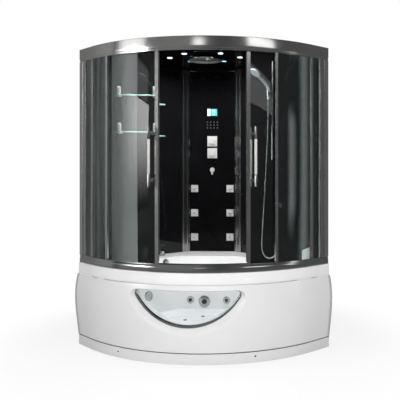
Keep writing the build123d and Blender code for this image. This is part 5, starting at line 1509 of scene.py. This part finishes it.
class ENCLOSURE_OT_curved_bands(bpy.types.Operator):
    """Makes the rail on the rim and the fascia on top"""

    bl_idname = "enclosure.curved_bands"
    bl_label = "Build curved bands"

    def execute(self, context):
        bottom_rail()
        fascia()
        return {"FINISHED"}


class ENCLOSURE_OT_uprights(bpy.types.Operator):
    """Makes the posts, joint bars, strikes and the roller track"""

    bl_idname = "enclosure.uprights"
    bl_label = "Build uprights"

    def execute(self, context):
        frame_uprights()
        return {"FINISHED"}


class ENCLOSURE_OT_fixed_panes(bpy.types.Operator):
    """Makes the fixed panes of clear glass"""

    bl_idname = "enclosure.fixed_panes"
    bl_label = "Build fixed panes"

    def execute(self, context):
        fixed_panes()
        return {"FINISHED"}


class ENCLOSURE_OT_sliding_doors(bpy.types.Operator):
    """Makes both doors with their handles and rollers"""

    bl_idname = "enclosure.sliding_doors"
    bl_label = "Build sliding doors"

    def execute(self, context):
        doors()
        return {"FINISHED"}


class ENCLOSURE_OT_walls(bpy.types.Operator):
    """Makes the dark glass walls, the column, its strips and the ceiling"""

    bl_idname = "enclosure.walls"
    bl_label = "Build walls"

    def execute(self, context):
        wall_panels()
        roof()
        return {"FINISHED"}


class ENCLOSURE_OT_ceiling_fittings(bpy.types.Operator):
    """Makes the lamps, the rain shower and the vent"""

    bl_idname = "enclosure.ceiling_fittings"
    bl_label = "Build ceiling fittings"

    def execute(self, context):
        ceiling_lamps()
        rain_head()
        vent()
        return {"FINISHED"}


class ENCLOSURE_OT_shelves(bpy.types.Operator):
    """Makes the two glass shelves and their clamps"""

    bl_idname = "enclosure.shelves"
    bl_label = "Build shelves"

    def execute(self, context):
        shelves()
        return {"FINISHED"}


class ENCLOSURE_OT_column_fittings(bpy.types.Operator):
    """Makes the valves, the hook, the body jets and the display"""

    bl_idname = "enclosure.column_fittings"
    bl_label = "Build column fittings"

    def execute(self, context):
        column_fittings()
        body_jets()
        control_display()
        return {"FINISHED"}


class ENCLOSURE_OT_hand_shower(bpy.types.Operator):
    """Makes the slide bar, the holder, the hand shower, the elbow and the steam outlet"""

    bl_idname = "enclosure.hand_shower"
    bl_label = "Build hand shower"

    def execute(self, context):
        hand_shower()
        steam_outlet()
        return {"FINISHED"}


class ENCLOSURE_OT_tub(bpy.types.Operator):
    """Makes the tub shell and its fittings"""

    bl_idname = "enclosure.tub"
    bl_label = "Build tub"

    def execute(self, context):
        tub()
        tub_fittings()
        return {"FINISHED"}


class ENCLOSURE_OT_deck_taps(bpy.types.Operator):
    """Makes the tap bases and their lobed handles"""

    bl_idname = "enclosure.deck_taps"
    bl_label = "Build deck taps"

    def execute(self, context):
        taps()
        return {"FINISHED"}


class ENCLOSURE_OT_carcass(bpy.types.Operator):
    """Makes the steel carcass, the feet and the pump"""

    bl_idname = "enclosure.carcass"
    bl_label = "Build carcass"

    def execute(self, context):
        carcass()
        return {"FINISHED"}


class ENCLOSURE_OT_stage(bpy.types.Operator):
    """Sets the camera, the lamps, the white room and the floor"""

    bl_idname = "enclosure.stage"
    bl_label = "Set stage"

    def execute(self, context):
        stage()
        return {"FINISHED"}


OPERATORS = (
    ENCLOSURE_OT_shower_hose,
    ENCLOSURE_OT_tub_front,
    ENCLOSURE_OT_curved_bands,
    ENCLOSURE_OT_uprights,
    ENCLOSURE_OT_fixed_panes,
    ENCLOSURE_OT_sliding_doors,
    ENCLOSURE_OT_walls,
    ENCLOSURE_OT_ceiling_fittings,
    ENCLOSURE_OT_shelves,
    ENCLOSURE_OT_column_fittings,
    ENCLOSURE_OT_hand_shower,
    ENCLOSURE_OT_tub,
    ENCLOSURE_OT_deck_taps,
    ENCLOSURE_OT_carcass,
    ENCLOSURE_OT_stage,
)


class ENCLOSURE_PT_pieces(bpy.types.Panel):
    """Settings and commands of the enclosure"""

    bl_idname = "ENCLOSURE_PT_pieces"
    bl_label = "Bath enclosure"
    bl_space_type = "VIEW_3D"
    bl_region_type = "UI"
    bl_category = "Enclosure"

    def draw(self, context):
        scene = context.scene
        for settings in (scene.enclosure_stage, scene.enclosure_finish, scene.enclosure_detail):
            box = self.layout.box()
            for name in settings.bl_rna.properties.keys():
                if name not in {"rna_type", "name"}:
                    box.prop(settings, name)
        column = self.layout.column(align=True)
        for operator in OPERATORS:
            column.operator(operator.bl_idname)


SETTINGS = (
    (EnclosureStage, "enclosure_stage"),
    (EnclosureFinish, "enclosure_finish"),
    (EnclosureDetail, "enclosure_detail"),
)


def register():
    """Adds the settings, the commands and the panel."""
    for group, name in SETTINGS:
        bpy.utils.register_class(group)
        setattr(bpy.types.Scene, name, PointerProperty(type=group))
    for part in (*OPERATORS, ENCLOSURE_PT_pieces):
        bpy.utils.register_class(part)


def unregister():
    """Takes them away again."""
    for part in reversed((*OPERATORS, ENCLOSURE_PT_pieces)):
        bpy.utils.unregister_class(part)
    for group, name in reversed(SETTINGS):
        delattr(bpy.types.Scene, name)
        bpy.utils.unregister_class(group)


def main():
    """Makes every piece in order."""
    register()
    for operator in OPERATORS:
        group, name = operator.bl_idname.split(".")
        if getattr(getattr(bpy.ops, group), name)() != {"FINISHED"}:
            raise RuntimeError(f"{operator.bl_label} did not finish")
    bpy.context.view_layer.update()


if __name__ == "__main__":
    main()
